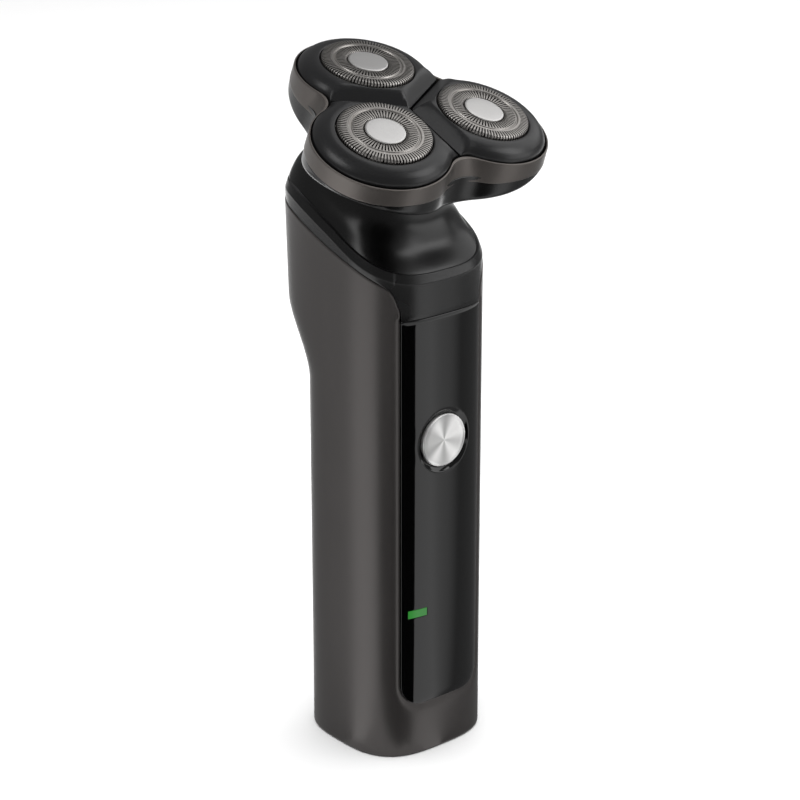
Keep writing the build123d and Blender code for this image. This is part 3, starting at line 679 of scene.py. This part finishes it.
def build_shell():
    """Wrap-round shell with a rolled top edge, a softly scooped lip round the panel and a chamfered foot."""
    loop, crest, window = shell_outline()
    flat, tris = fill_region(loop, rings=(0.1, 0.25, 0.45, 0.75, 1.15, 1.7, 2.4))
    top_gap = np.minimum(distance_to(flat, crest, False), distance_to(flat, crest * (-1, 1), False))
    window_gap = distance_to(flat, window, False)
    low = ease((PANEL_BOTTOM + 3 - flat[:, 1]) / 6)
    scoop = LIP_DEPTH * ease(1 - window_gap / (LIP_WIDTH + LIP_EXTRA_LOW * low))
    sunk = roll(top_gap, 0.4, 0.3) + scoop + roll(flat[:, 1], 0.7, 0.6)
    outer = skin(flat, sunk)
    inner = skin(flat, WALL)
    seam = np.abs(np.abs(flat[:, 0]) - HALF_GIRTH) < 1e-3
    verts, faces = two_sided(outer, inner, tris, skip=seam)
    make("rear_shell_skin", verts, faces, "handle", "bronze_lacquer", "rear_shell", weld=True)


def build_panel():
    """Gloss panel with a rolled edge, a dish round the button, the button hole and the light slot."""
    edge = panel_outline(0, PANEL_TOP - 0.04)
    top = resample(np.array([edge[-1], edge[0]]), 0.5, closed=False)
    loop = np.vstack([edge, top[1:-1]])[::-1]
    turn = np.linspace(0, 2 * math.pi, 96, endpoint=False)

    def circle(radius):
        """Circle round the button, in (arc, height)."""
        x = radius * np.cos(turn)
        return np.column_stack([arc_of_x(x), BUTTON_Z + radius * np.sin(turn)])

    hole = circle(BUTTON_RADIUS + 0.2)
    half_l, half_h = LIGHT_LENGTH / 2 + 0.1, LIGHT_HEIGHT / 2 + 0.1
    corners = [(-half_l, -half_h), (half_l, -half_h), (half_l, half_h), (-half_l, half_h)]
    slot = resample(np.array([(LIGHT_X + x, LIGHT_Z + z) for x, z in corners]), 0.35)
    slot = np.column_stack([arc_of_x(slot[:, 0]), slot[:, 1]])
    dish_rings = np.vstack([circle(r) for r in (7.3, 7.65, 7.95, 8.15, 8.35, 8.6, 9.0)])
    flat, tris = fill_region(loop, [hole, slot], rings=(0.06, 0.14, 0.26), grid=1.2, extra=dish_rings)
    x = skin_point(flat[:, 0], flat[:, 1])[:, 0]
    from_button = np.hypot(x, flat[:, 1] - BUTTON_Z)
    dish = DISH_DEPTH * ease((DISH_RADIUS + 0.15 - from_button) / (DISH_RADIUS - BUTTON_RADIUS))
    sunk = 0.05 + roll(distance_to(flat, loop), 0.3, 0.22) + dish + roll(distance_to(flat, slot), 0.12, 0.08)
    outer = skin(flat, sunk)
    inner = skin(flat, PANEL_THICK)
    verts, faces = two_sided(outer, inner, tris)
    make("front_panel_skin", verts, faces, "handle", "panel_gloss", "front_panel")


def handle_columns():
    """Arc positions round the handle, closer together where the shell's edge climbs steeply."""
    even = np.linspace(0, HALF_GIRTH, 130)
    steep_y = np.linspace(-17.1, -14.0, 40)
    steep = arc_of_y(steep_y, np.full(40, 120.0))
    half = np.unique(np.round(np.concatenate([even, steep]), 3))
    return np.concatenate([half, -half[1:-1][::-1]])


def build_collar():
    """Dark band with a broad bevel under its rim, closed at the back."""
    arcs = handle_columns()
    low = np.full(len(arcs), 125.0)
    high = np.full(len(arcs), 130.0)
    for _ in range(12):
        low = shell_height(skin_point(arcs, low)[:, 1])
        high = rim_height(skin_point(arcs, high)[:, 1])
    low = low + np.where(low > PANEL_TOP + 0.01, SEAM, 0.04)
    high = high + 0.3
    bevel = high - COLLAR_BEVEL
    layers = [(low, WALL), (low, 0.3), (low + 0.06, 0.2), (low + 0.2, 0.15)]
    layers += [(low + 0.35 + (bevel - 0.5 - low - 0.35) * t, 0.15) for t in np.linspace(0, 1, 9)[1:]]
    layers += [(bevel - 0.2, 0.16), (bevel, 0.22), (bevel + 0.25, 0.34),
               (high - 0.35, 0.78), (high - 0.08, 0.92), (high, 1.1), (high, WALL)]
    rows = [skin(np.column_stack([arcs, z]), sunk) for z, sunk in layers]
    make("collar_skin", *tube(rows), "handle", "collar_satin", "collar")


def neck_section():
    """Functions giving the dome's outline at any level of the head axis."""
    levels = [station[0] for station in NECK_STATIONS]
    values = []
    for depth, front_share, side_share, back_share in NECK_STATIONS:
        axis_y = HEAD_Y - depth * math.sin(HEAD_TILT)
        centre = -axis_y / math.cos(HEAD_TILT) * (1 - side_share)
        rim_front = (HALF_DEPTH - RIM_INSET + axis_y) / math.cos(HEAD_TILT)
        rim_back = (RIM_BACK - RIM_INSET - axis_y) / math.cos(HEAD_TILT)
        half_width = (HALF_WIDTH - RIM_INSET) * (1 - side_share) + NECK_RADIUS * side_share
        front = rim_front * (1 - front_share) + NECK_RADIUS * front_share + centre
        back = rim_back * (1 - back_share) + NECK_RADIUS * back_share - centre
        values.append((centre, half_width, front, back, CORNER_POWER - side_share))
    return [natural_spline(levels, column) for column in zip(*values)]


def build_neck():
    """Dome that gathers into the round neck, its spigot with a seal groove, and the spindle tube's bore."""
    centre, half_width, front, back, power = neck_section()
    columns = 192
    phi = np.linspace(0, 2 * math.pi, columns, endpoint=False)

    def dome(level, inset=0.0):
        """Dome's outline at a level for each column, shrunk all round by the inset."""
        x, y = reach(phi, half_width(level) - inset, front(level) - inset, back(level) - inset, power(level))
        return np.column_stack([x, centre(level) + y, level])

    levels = np.linspace(-36.5, NECK_TOP, 260)
    above = []
    for level in levels:
        row = head_place(dome(np.full(columns, level)))
        above.append(row[:, 2] - rim_height(row[:, 1]))
    above = np.array(above)
    first = np.argmax(above > 0, axis=0)
    before = above[first - 1, np.arange(columns)]
    after = above[first, np.arange(columns)]
    start = levels[first - 1] + (levels[first] - levels[first - 1]) * before / (before - after) - 0.7
    rows = [dome(start + (NECK_TOP - 0.25 - start) * share) for share in np.linspace(0, 1, 36)]
    rows += [spun([step], columns) for step in SPIGOT_PROFILE]
    rows += [dome(start + (NECK_TOP - 1.7 - start) * share, NECK_WALL) for share in np.linspace(1, 0, 20)]
    rows = [head_place(row) for row in rows]
    make("neck_cover_skin", *tube(rows), "handle", "neck_gloss", "neck_cover")


def build_button():
    """Spun silver button: a softly dished face inside a thin bright edge."""
    verts, faces = disc_solid(BUTTON_PROFILE, 160)
    placed = np.column_stack([verts[:, 0], verts[:, 2], BUTTON_Z + verts[:, 1]])
    make("power_button_face", placed, faces, "power_button", "silver_button", "power_button", button_finish())


def button_finish():
    """Silver with fine circular turning marks and broad radial sectors of painted highlight in its base
    colour.
    """
    material = node_material("spun_silver", (0.9, 0.895, 0.885), metallic=0.7, roughness=0.34, grain=900,
                             grain_bump=0.02, tint=0.03)
    tree = material.node_tree
    shader = tree.nodes["Principled BSDF"]
    set_inputs(shader, Anisotropic=0.75)
    place = add_node(tree, "TexCoord")
    mapping = add_node(tree, "Mapping")
    set_inputs(mapping, Location=(0, 0, -BUTTON_Z * MM))
    wire(place, "Object", mapping, "Vector")
    rings = add_node(tree, "TexWave", wave_type="RINGS", rings_direction="Y")
    set_inputs(rings, Scale=900.0, Distortion=1.5)
    wire(mapping, "Vector", rings, "Vector")
    bump = tree.nodes["Bump"]
    set_inputs(bump, Strength=0.06)
    wire(rings, "Fac", bump, "Height")
    cross = add_node(tree, "VectorMath", operation="CROSS_PRODUCT")
    cross.inputs[1].default_value = (0, 1, 0)
    wire(mapping, "Vector", cross, 0)
    level = add_node(tree, "VectorMath", operation="NORMALIZE")
    wire(cross, "Vector", level, 0)
    wire(level, "Vector", shader, "Tangent")
    upright = add_node(tree, "Mapping")
    set_inputs(upright, Rotation=(math.radians(-90), 0, 0))
    wire(mapping, "Vector", upright, "Vector")
    turn = add_node(tree, "TexGradient", gradient_type="RADIAL")
    wire(upright, "Vector", turn, "Vector")
    # Base colour brightens and dims round the turn: painted highlights that stand in for the radial streaks
    # light makes on spun metal.
    painted_highlights = add_node(tree, "ValToRGB")
    painted_highlights.color_ramp.interpolation = "EASE"
    first, last = painted_highlights.color_ramp.elements
    first.position, last.position = 0.0, 1.0
    first.color = last.color = (0.62, 0.62, 0.61, 1)
    for share, shade in PAINTED_HIGHLIGHT_STOPS:
        stop = painted_highlights.color_ramp.elements.new(share)
        stop.color = (shade, shade * 0.995, shade * 0.985, 1)
    wire(turn, "Fac", painted_highlights, "Fac")
    wire(painted_highlights, "Color", shader, "Base Color")
    return material


# ---------------------------------------------------------------- head pieces

def direction(angle):
    """Unit vector in the plane at one angle."""
    return np.array([math.cos(angle), math.sin(angle)])


def directions(angles):
    """Unit vectors in the plane at several angles."""
    return np.column_stack([np.cos(angles), np.sin(angles)])


def lobed_outline(lobe, waist, per_lobe=44, per_waist=16):
    """Three-lobed outline as points: arcs round the cutters joined by hollow waists."""
    half = math.radians(60)
    across = CUTTER_CIRCLE * math.sin(half)
    reach_out = CUTTER_CIRCLE * math.cos(half) + math.sqrt((lobe + waist) ** 2 - across ** 2)
    points = []
    for k in range(3):
        middle = math.radians(90 + 120 * k)
        cutter = CUTTER_CIRCLE * direction(middle)
        hollows = [reach_out * direction(middle + s * half) for s in (-1, 1)]
        to_first, to_last = hollows[0] - cutter, hollows[1] - cutter
        first = math.atan2(to_first[1], to_first[0])
        last = math.atan2(to_last[1], to_last[0])
        sweep = (last - first) % (2 * math.pi)
        turn = first + np.linspace(0, 1, per_lobe, endpoint=False) * sweep
        points.append(cutter + lobe * directions(turn))
        begin = last + math.pi
        inward = middle + half + math.pi
        half_turn = (inward - begin + math.pi) % (2 * math.pi) - math.pi
        turn = begin + np.linspace(0, 1, per_waist, endpoint=False) * 2 * half_turn
        points.append(hollows[1] + waist * directions(turn))
    return np.vstack(points)


def lean_height(xy, base, soft=0.25):
    """Height of a layer of the head: the lowest of three planes that lean outwards, softly blended."""
    slope = math.tan(POD_TILT)
    total = 0
    for k in range(3):
        middle = math.radians(90 + 120 * k)
        out = xy[:, 0] * math.cos(middle) + xy[:, 1] * math.sin(middle) - CUTTER_CIRCLE
        total = total + np.exp((out * slope) / soft)
    return base - soft * np.log(total)


def band_outline(level_share, inset=0.0):
    """Outer outline of the band between its top (share 0) and its foot (share 1)."""
    lobe = BAND_LOBE + BAND_FLARE * level_share
    return lobed_outline(lobe - inset, BAND_WAIST + BAND_WAIST_FLARE * level_share + inset)


def build_band():
    """Bronze trim band with softened edges."""
    top = POD_SEAM - 0.1
    tall = top - BAND_LOW

    def level(outline, share):
        """Height of the band's surface; its foot dips where the outline comes in between two pods."""
        dip = BAND_DIP * ease((BAND_DIP_START - np.hypot(outline[:, 0], outline[:, 1])) / BAND_DIP_RUN)
        return lean_height(outline, top - tall * share) - dip * share

    rows = []
    for inset, drop in ((0.5, tall), (0.16, tall), (0.04, tall - 0.06), (0.0, tall - 0.2)):
        outline = band_outline(BAND_SHARE_TOP + BAND_SHARE_RUN * drop / tall, inset)
        rows.append(np.column_stack([outline, level(outline, drop / tall)]))
    for share in np.linspace(0.88, 0.12, 7):
        outline = band_outline(BAND_SHARE_TOP + BAND_SHARE_RUN * share)
        rows.append(np.column_stack([outline, level(outline, share)]))
    for inset, drop in ((0.0, 0.2), (0.04, 0.06), (0.14, 0.0)):
        outline = band_outline(BAND_SHARE_TOP, inset)
        rows.append(np.column_stack([outline, lean_height(outline, top - drop)]))
    inner = lobed_outline(16.8, 6.2)
    rows += [np.column_stack([inner, lean_height(inner, base)]) for base in (top, BAND_LOW)]
    rows = [head_place(row) for row in rows]
    make("head_band_skin", *tube(rows), "shaving_head", "band_bronze", "head_band")


def dish_height(radius, foot):
    """Underside of the bowl: a shallow cone that steepens softly beyond its knee."""
    cone = foot + (radius - NECK_RADIUS) * KNEE_RISE / (KNEE_RADIUS - NECK_RADIUS)
    steep = foot + KNEE_RISE + (radius - KNEE_RADIUS) * EDGE_RISE / (EDGE_RADIUS - KNEE_RADIUS)
    soft = 0.25
    return soft * np.log(np.exp((cone - foot) / soft) + np.exp((steep - foot) / soft)) + foot


def build_bowl():
    """Bowl: rounded lobed rim, shallow cone, neck socket, and the hollow that holds the gears."""
    rim = BAND_LOW - 0.1
    foot = NECK_TOP + 0.15
    outline = lobed_outline(BOWL_LOBE, BOWL_WAIST)
    round_unit = directions(np.arctan2(outline[:, 1], outline[:, 0]))
    rim_here = lean_height(outline, rim)
    radius = np.hypot(outline[:, 0], outline[:, 1])

    def under(share):
        """Point between the neck (share 0) and the rim outline (share 1), on the underside."""
        here = NECK_RADIUS + (radius - NECK_RADIUS) * share
        height = dish_height(here, foot) + roll(radius - here, BOWL_ROLL)
        return np.column_stack([round_unit * here[:, None], np.minimum(height, rim_here - 0.25)])

    inner = lobed_outline(15.1, 14.2)
    lip = lobed_outline(BOWL_LOBE - 0.14, BOWL_WAIST + 0.14)
    rows = [np.column_stack([inner, lean_height(inner, rim)]), np.column_stack([lip, lean_height(lip, rim)]),
            np.column_stack([outline, lean_height(outline, rim - 0.12)])]
    wall_top = rim_here - 0.2
    wall_drop = np.minimum(dish_height(radius, foot) + BOWL_ROLL - wall_top, 0)
    rows += [np.column_stack([outline, wall_top + wall_drop * share]) for share in np.linspace(0.15, 1, 6)]
    rows += [under(share) for share in BOWL_SHARES]
    mouth = [(NECK_RADIUS - 0.1, foot - 0.02), (9.3, foot), (9.08, foot + 0.2)]
    rows += [np.column_stack([round_unit * r, np.full(len(outline), z)]) for r, z in mouth + SOCKET_PROFILE]
    turn_unit = directions(np.arctan2(inner[:, 1], inner[:, 0]))
    inner_radius = np.hypot(inner[:, 0], inner[:, 1])
    ceiling = lean_height(inner, rim) - 0.3
    for share in (0.2, 0.45, 0.7, 0.9, 1.0):
        here = 9.0 + (inner_radius - 9.0) * share
        level = np.maximum(dish_height(here, foot + 1.2), -15.2)
        rows.append(np.column_stack([turn_unit * here[:, None], np.minimum(level, ceiling)]))
    rows = [head_place(row) for row in rows]
    make("head_bowl_skin", *tube(rows), "shaving_head", "neck_gloss", "head_bowl")


def pod_outline():
    """Pod cover seen from above, in the upright frame of the rear pod: lobe, waist ends, straight flanks."""
    whole = lobed_outline(POD_LOBE, POD_WAIST, 120, 60)
    half = math.radians(60)
    gaps = np.column_stack([whole @ (direction(half) * (s, 1)) for s in (-1, 1)])
    keep = (gaps > SECTOR_GAP).all(1)
    start = int(np.argmax(keep & ~np.roll(keep, 1)))
    arc = np.roll(whole, -start, axis=0)[:int(keep.sum())]
    centre = np.array([0, (SECTOR_GAP + APEX_ROUND) / math.sin(half)])
    apex = centre + APEX_ROUND * directions(np.radians(np.linspace(240, 300, 13)))
    return resample(np.vstack([arc, apex]), 0.45)


def flank_gap(xy):
    """Distance from the nearer of the two gap lines that bound the rear pod."""
    return xy[:, 1] * math.sin(math.radians(60)) - np.abs(xy[:, 0]) * math.cos(math.radians(60))


def soft_min(a, b, soft):
    """The lesser of two heights, blended where they cross."""
    return -soft * np.log(np.exp(-a / soft) + np.exp(-b / soft))


def build_pods():
    """Three pod covers: domed towards the outside, bevelled along the gaps, bored for the caps."""
    loop = pod_outline()
    lobe_line = lobed_outline(POD_LOBE, POD_WAIST, 120, 60)
    turn = np.linspace(0, 2 * math.pi, 144, endpoint=False)
    bore_radius = CAP_RADIUS + 0.25
    bore = np.column_stack([bore_radius * np.cos(turn), CUTTER_CIRCLE + bore_radius * np.sin(turn)])
    flat, tris = fill_region(loop, [bore], rings=(0.1, 0.25, 0.45, 0.7, 1.0, 1.18, 1.24), grid=0.8)
    bore_gap = np.hypot(flat[:, 0], flat[:, 1] - CUTTER_CIRCLE) - bore_radius
    near = np.clip(1 - distance_to(flat, lobe_line) / POD_DOME_RUN, 0, 1) ** 2
    dome = POD_SEAM + POD_DOME_RISE * (0.5 * np.sqrt(1 - near) + 0.5 * (1 - near))
    bevel = -4.0 + (flank_gap(flat) - SECTOR_GAP) / SECTOR_BEVEL
    top = soft_min(dome, bevel, 0.22) - roll(bore_gap, 0.35, 0.2)
    skirt = (distance_to(flat, loop) < 1.21) | (bore_gap < 1.3)
    under = np.where(skirt, POD_FOOT, np.minimum(top - 1.2, POD_SEAM))
    outer = np.column_stack([flat, top])
    inner = np.column_stack([flat, np.minimum(under, top - 0.3)])
    verts, faces = two_sided(outer, inner, tris)
    for name, turn in POD_TURNS.items():
        make(f"{name}_pod_cover", pod_place(verts, turn), faces, f"{name}_pod", "pod_black", f"{name}_pod")


def masked_skin(rows, columns, keep, upper, lower):
    """Closed solid over the kept cells of a grid that closes round on itself, with a wall at each opening."""
    count = rows * columns
    faces = []
    for i in range(rows - 1):
        for j in range(columns):
            if not keep[i][j]:
                continue
            k = (j + 1) % columns
            a, b, c, d = i * columns + j, i * columns + k, (i + 1) * columns + k, (i + 1) * columns + j
            faces.append((a, b, c, d))
            faces.append((d + count, c + count, b + count, a + count))
            sides = ((i - 1, j, a, b), (i, k, b, c), (i + 1, j, c, d), (i, (j - 1) % columns, d, a))
            for row, column, p, q in sides:
                if row < 0 or row >= rows - 1 or not keep[row][column]:
                    faces.append((q, p, p + count, q + count))
    return np.vstack([upper, lower]), faces


def build_caps():
    """Slotted caps: 60 inner ribs, a groove, and 90 outer ribs that run over the rim and down the side."""
    rows = len(CAP_PROFILE)
    keep = [[True] * CAP_COLUMNS for _ in range(rows - 1)]
    for (first, end), pitch in ((INNER_SLOTS, INNER_PITCH), (OUTER_SLOTS, OUTER_PITCH)):
        for i in range(first, end):
            for j in range(CAP_COLUMNS):
                if j % pitch >= pitch // 2:
                    keep[i][j] = False
    profile = np.array(CAP_PROFILE)
    ahead = np.gradient(profile, axis=0)
    ahead /= np.linalg.norm(ahead, axis=1, keepdims=True)
    inside = profile + CAP_SHEET * np.column_stack([ahead[:, 1], -ahead[:, 0]])
    verts, faces = masked_skin(rows, CAP_COLUMNS, keep, spun(profile, CAP_COLUMNS), spun(inside, CAP_COLUMNS))
    disc_verts, disc_faces = disc_solid(DISC_PROFILE)
    for name, turn in POD_TURNS.items():
        cap = f"{name}_cap"
        make(f"{cap}_slotted", cutter_place(verts, turn), faces, cap, "cap_steel", cap)
        make(f"{cap}_disc_face", cutter_place(disc_verts, turn), disc_faces, cap, "disc_steel", f"{cap}_disc")


# ---------------------------------------------------------------- floor, light and camera

def plain_material(name, colour):
    """Even matt colour for the stage."""
    material, _, shader = new_material(name)
    set_inputs(shader, Base_Color=opaque(colour), Roughness=0.9, Specular_IOR_Level=0.0)
    return material


def soft_light(name, centre, size, power, toward=(0, 0, 0.1)):
    """Large rectangular lamp aimed at a point."""
    lamp = bpy.data.lights.new(name, "AREA")
    lamp.shape = "RECTANGLE"
    lamp.size, lamp.size_y = size
    lamp.energy = power
    piece = add_object(name, lamp)
    piece.location = centre
    piece.rotation_euler = (Vector(centre) - Vector(toward)).to_track_quat("Z", "Y").to_euler()
    return piece


def stage_mesh(name, points, faces, material):
    """Flat object that belongs to the stage, not to the shaver."""
    mesh = bpy.data.meshes.new(name)
    mesh.from_pydata(points, [], faces)
    mesh.materials.append(material)
    piece = add_object(name, mesh)
    return piece


def rectangle(half_w, half_h):
    """Corners of a level rectangle round the origin."""
    return [(-half_w, -half_h, 0), (half_w, -half_h, 0), (half_w, half_h, 0), (-half_w, half_h, 0)]


def build_studio():
    """Pale floor, soft lights, and the bright and dark cards that only reflections see."""
    stage_mesh("floor", rectangle(FLOOR_HALF, FLOOR_HALF), [(0, 1, 2, 3)],
               plain_material("floor_white", (0.93, 0.93, 0.93)))
    world = bpy.data.worlds.new("studio")
    world.use_nodes = True
    set_inputs(world.node_tree.nodes["Background"], Color=(1, 1, 1, 1), Strength=0.2)
    bpy.context.scene.world = world
    ceiling = soft_light("ceiling", (0.0, 0.0, 1.3), (1.6, 1.6), 30.0)
    ceiling.visible_glossy = False
    soft_light("right_roof", (0.72, 0.0, 0.85), (0.75, 1.2), 2.6, toward=(0, 0, 0.15))
    front = Vector((-10.0, -20.0)) * MM
    side = Vector((-19.0, -6.0)) * MM
    fading = fading_material(Vector((-1.0, -18.5)) * MM, (-57, -38), (1.18, 0.27))
    floor_card("dark_card", front, (-168, -75), plain_material("card_dark", (0.003, 0.003, 0.003)))
    floor_card("fading_card", front, (-75, 20), fading)
    floor_card("grey_card", side, (80, 141), glow_material("card_grey", 0.42))
    floor_card("bright_card", side, (141, 197), glow_material("card_bright", 1.7))
    sky_card("front_box", -46, 35, (0.48, 0.48), 2.9)
    sky_card("low_box", -48, 10, (0.8, 0.24), 1.9)
    sky_card("left_box", 170, 47, (0.5, 0.4), 2.6)


def glow_material(name, strength):
    """Evenly lit white card."""
    material = plain_material(name, (0.0, 0.0, 0.0))
    shader = material.node_tree.nodes["Principled BSDF"]
    set_inputs(shader, Emission_Color=(1, 1, 1, 1), Emission_Strength=strength)
    return material


def sky_card(name, azimuth, elevation, size, strength):
    """Card a metre from the head, at a bearing from +X, that only reflections see."""
    turn, rise = math.radians(azimuth), math.radians(elevation)
    toward = Vector((math.cos(turn) * math.cos(rise), math.sin(turn) * math.cos(rise), math.sin(rise)))
    piece = stage_mesh(name, rectangle(size[0] / 2, size[1] / 2), [(0, 1, 2, 3)],
                       glow_material(f"{name}_glow", strength))
    piece.location = Vector((0, -0.01, 0.14)) + toward
    piece.rotation_euler = toward.to_track_quat("Z", "Y").to_euler()
    show_to_reflections_only(piece)


def show_to_reflections_only(piece):
    """Hide a card from the camera, from shadows and from soft light."""
    piece.visible_camera = False
    piece.visible_shadow = False
    piece.visible_diffuse = False


def floor_card(name, corner, span, material):
    """Sector of a ring lying on the floor that only reflections see; the span is in degrees from +X."""
    turns = np.radians(np.linspace(*span, CARD_STEPS + 1))
    points = [(corner.x + r * math.cos(t), corner.y + r * math.sin(t), CARD_LIFT * MM)
              for r in (CARD_NEAR, CARD_FAR) for t in turns]
    outer = CARD_STEPS + 1
    faces = [(k, k + 1, k + 1 + outer, k + outer) for k in range(CARD_STEPS)]
    show_to_reflections_only(stage_mesh(name, points, faces, material))


def fading_material(corner, span, glow):
    """Light that fades from one direction to another round a corner point, as seen from above."""
    material = plain_material("card_fading", (0.0, 0.0, 0.0))
    tree = material.node_tree
    shader = tree.nodes["Principled BSDF"]
    place = add_node(tree, "TexCoord")
    shift = add_node(tree, "Mapping")
    set_inputs(shift, Location=(-corner.x, -corner.y, 0))
    around = add_node(tree, "TexGradient", gradient_type="RADIAL")
    fade = add_node(tree, "MapRange", interpolation_type="SMOOTHSTEP")
    first, last = (0.5 + degrees / 360 for degrees in span)
    set_inputs(fade, From_Min=first, From_Max=last, To_Min=glow[0], To_Max=glow[1])
    set_inputs(shader, Emission_Color=(1, 1, 1, 1))
    wire(place, "Object", shift, "Vector")
    wire(shift, "Vector", around, "Vector")
    wire(around, "Fac", fade, "Value")
    wire(fade, "Result", shader, "Emission Strength")
    return material


def build_camera():
    """Camera at the recorded viewing angle, aimed at the middle of the handle."""
    azimuth, elevation = math.radians(CAMERA_AZIMUTH), math.radians(CAMERA_ELEVATION)
    back = Vector((math.sin(azimuth) * math.cos(elevation), -math.cos(azimuth) * math.cos(elevation),
                   math.sin(elevation)))
    lens = bpy.data.cameras.new("camera")
    lens.lens = CAMERA_LENS
    lens.sensor_width = 36.0
    lens.clip_start = 0.01
    camera = add_object("camera", lens)
    camera.location = Vector(CAMERA_TARGET) + back * CAMERA_DISTANCE
    camera.rotation_euler = back.to_track_quat("Z", "Y").to_euler()
    bpy.context.scene.camera = camera


dress_nodes()
build_shell()
build_panel()
build_collar()
build_neck()
build_button()
build_band()
build_bowl()
build_pods()
build_caps()
build_studio()
build_camera()
bpy.context.scene.view_settings.view_transform = "Standard"
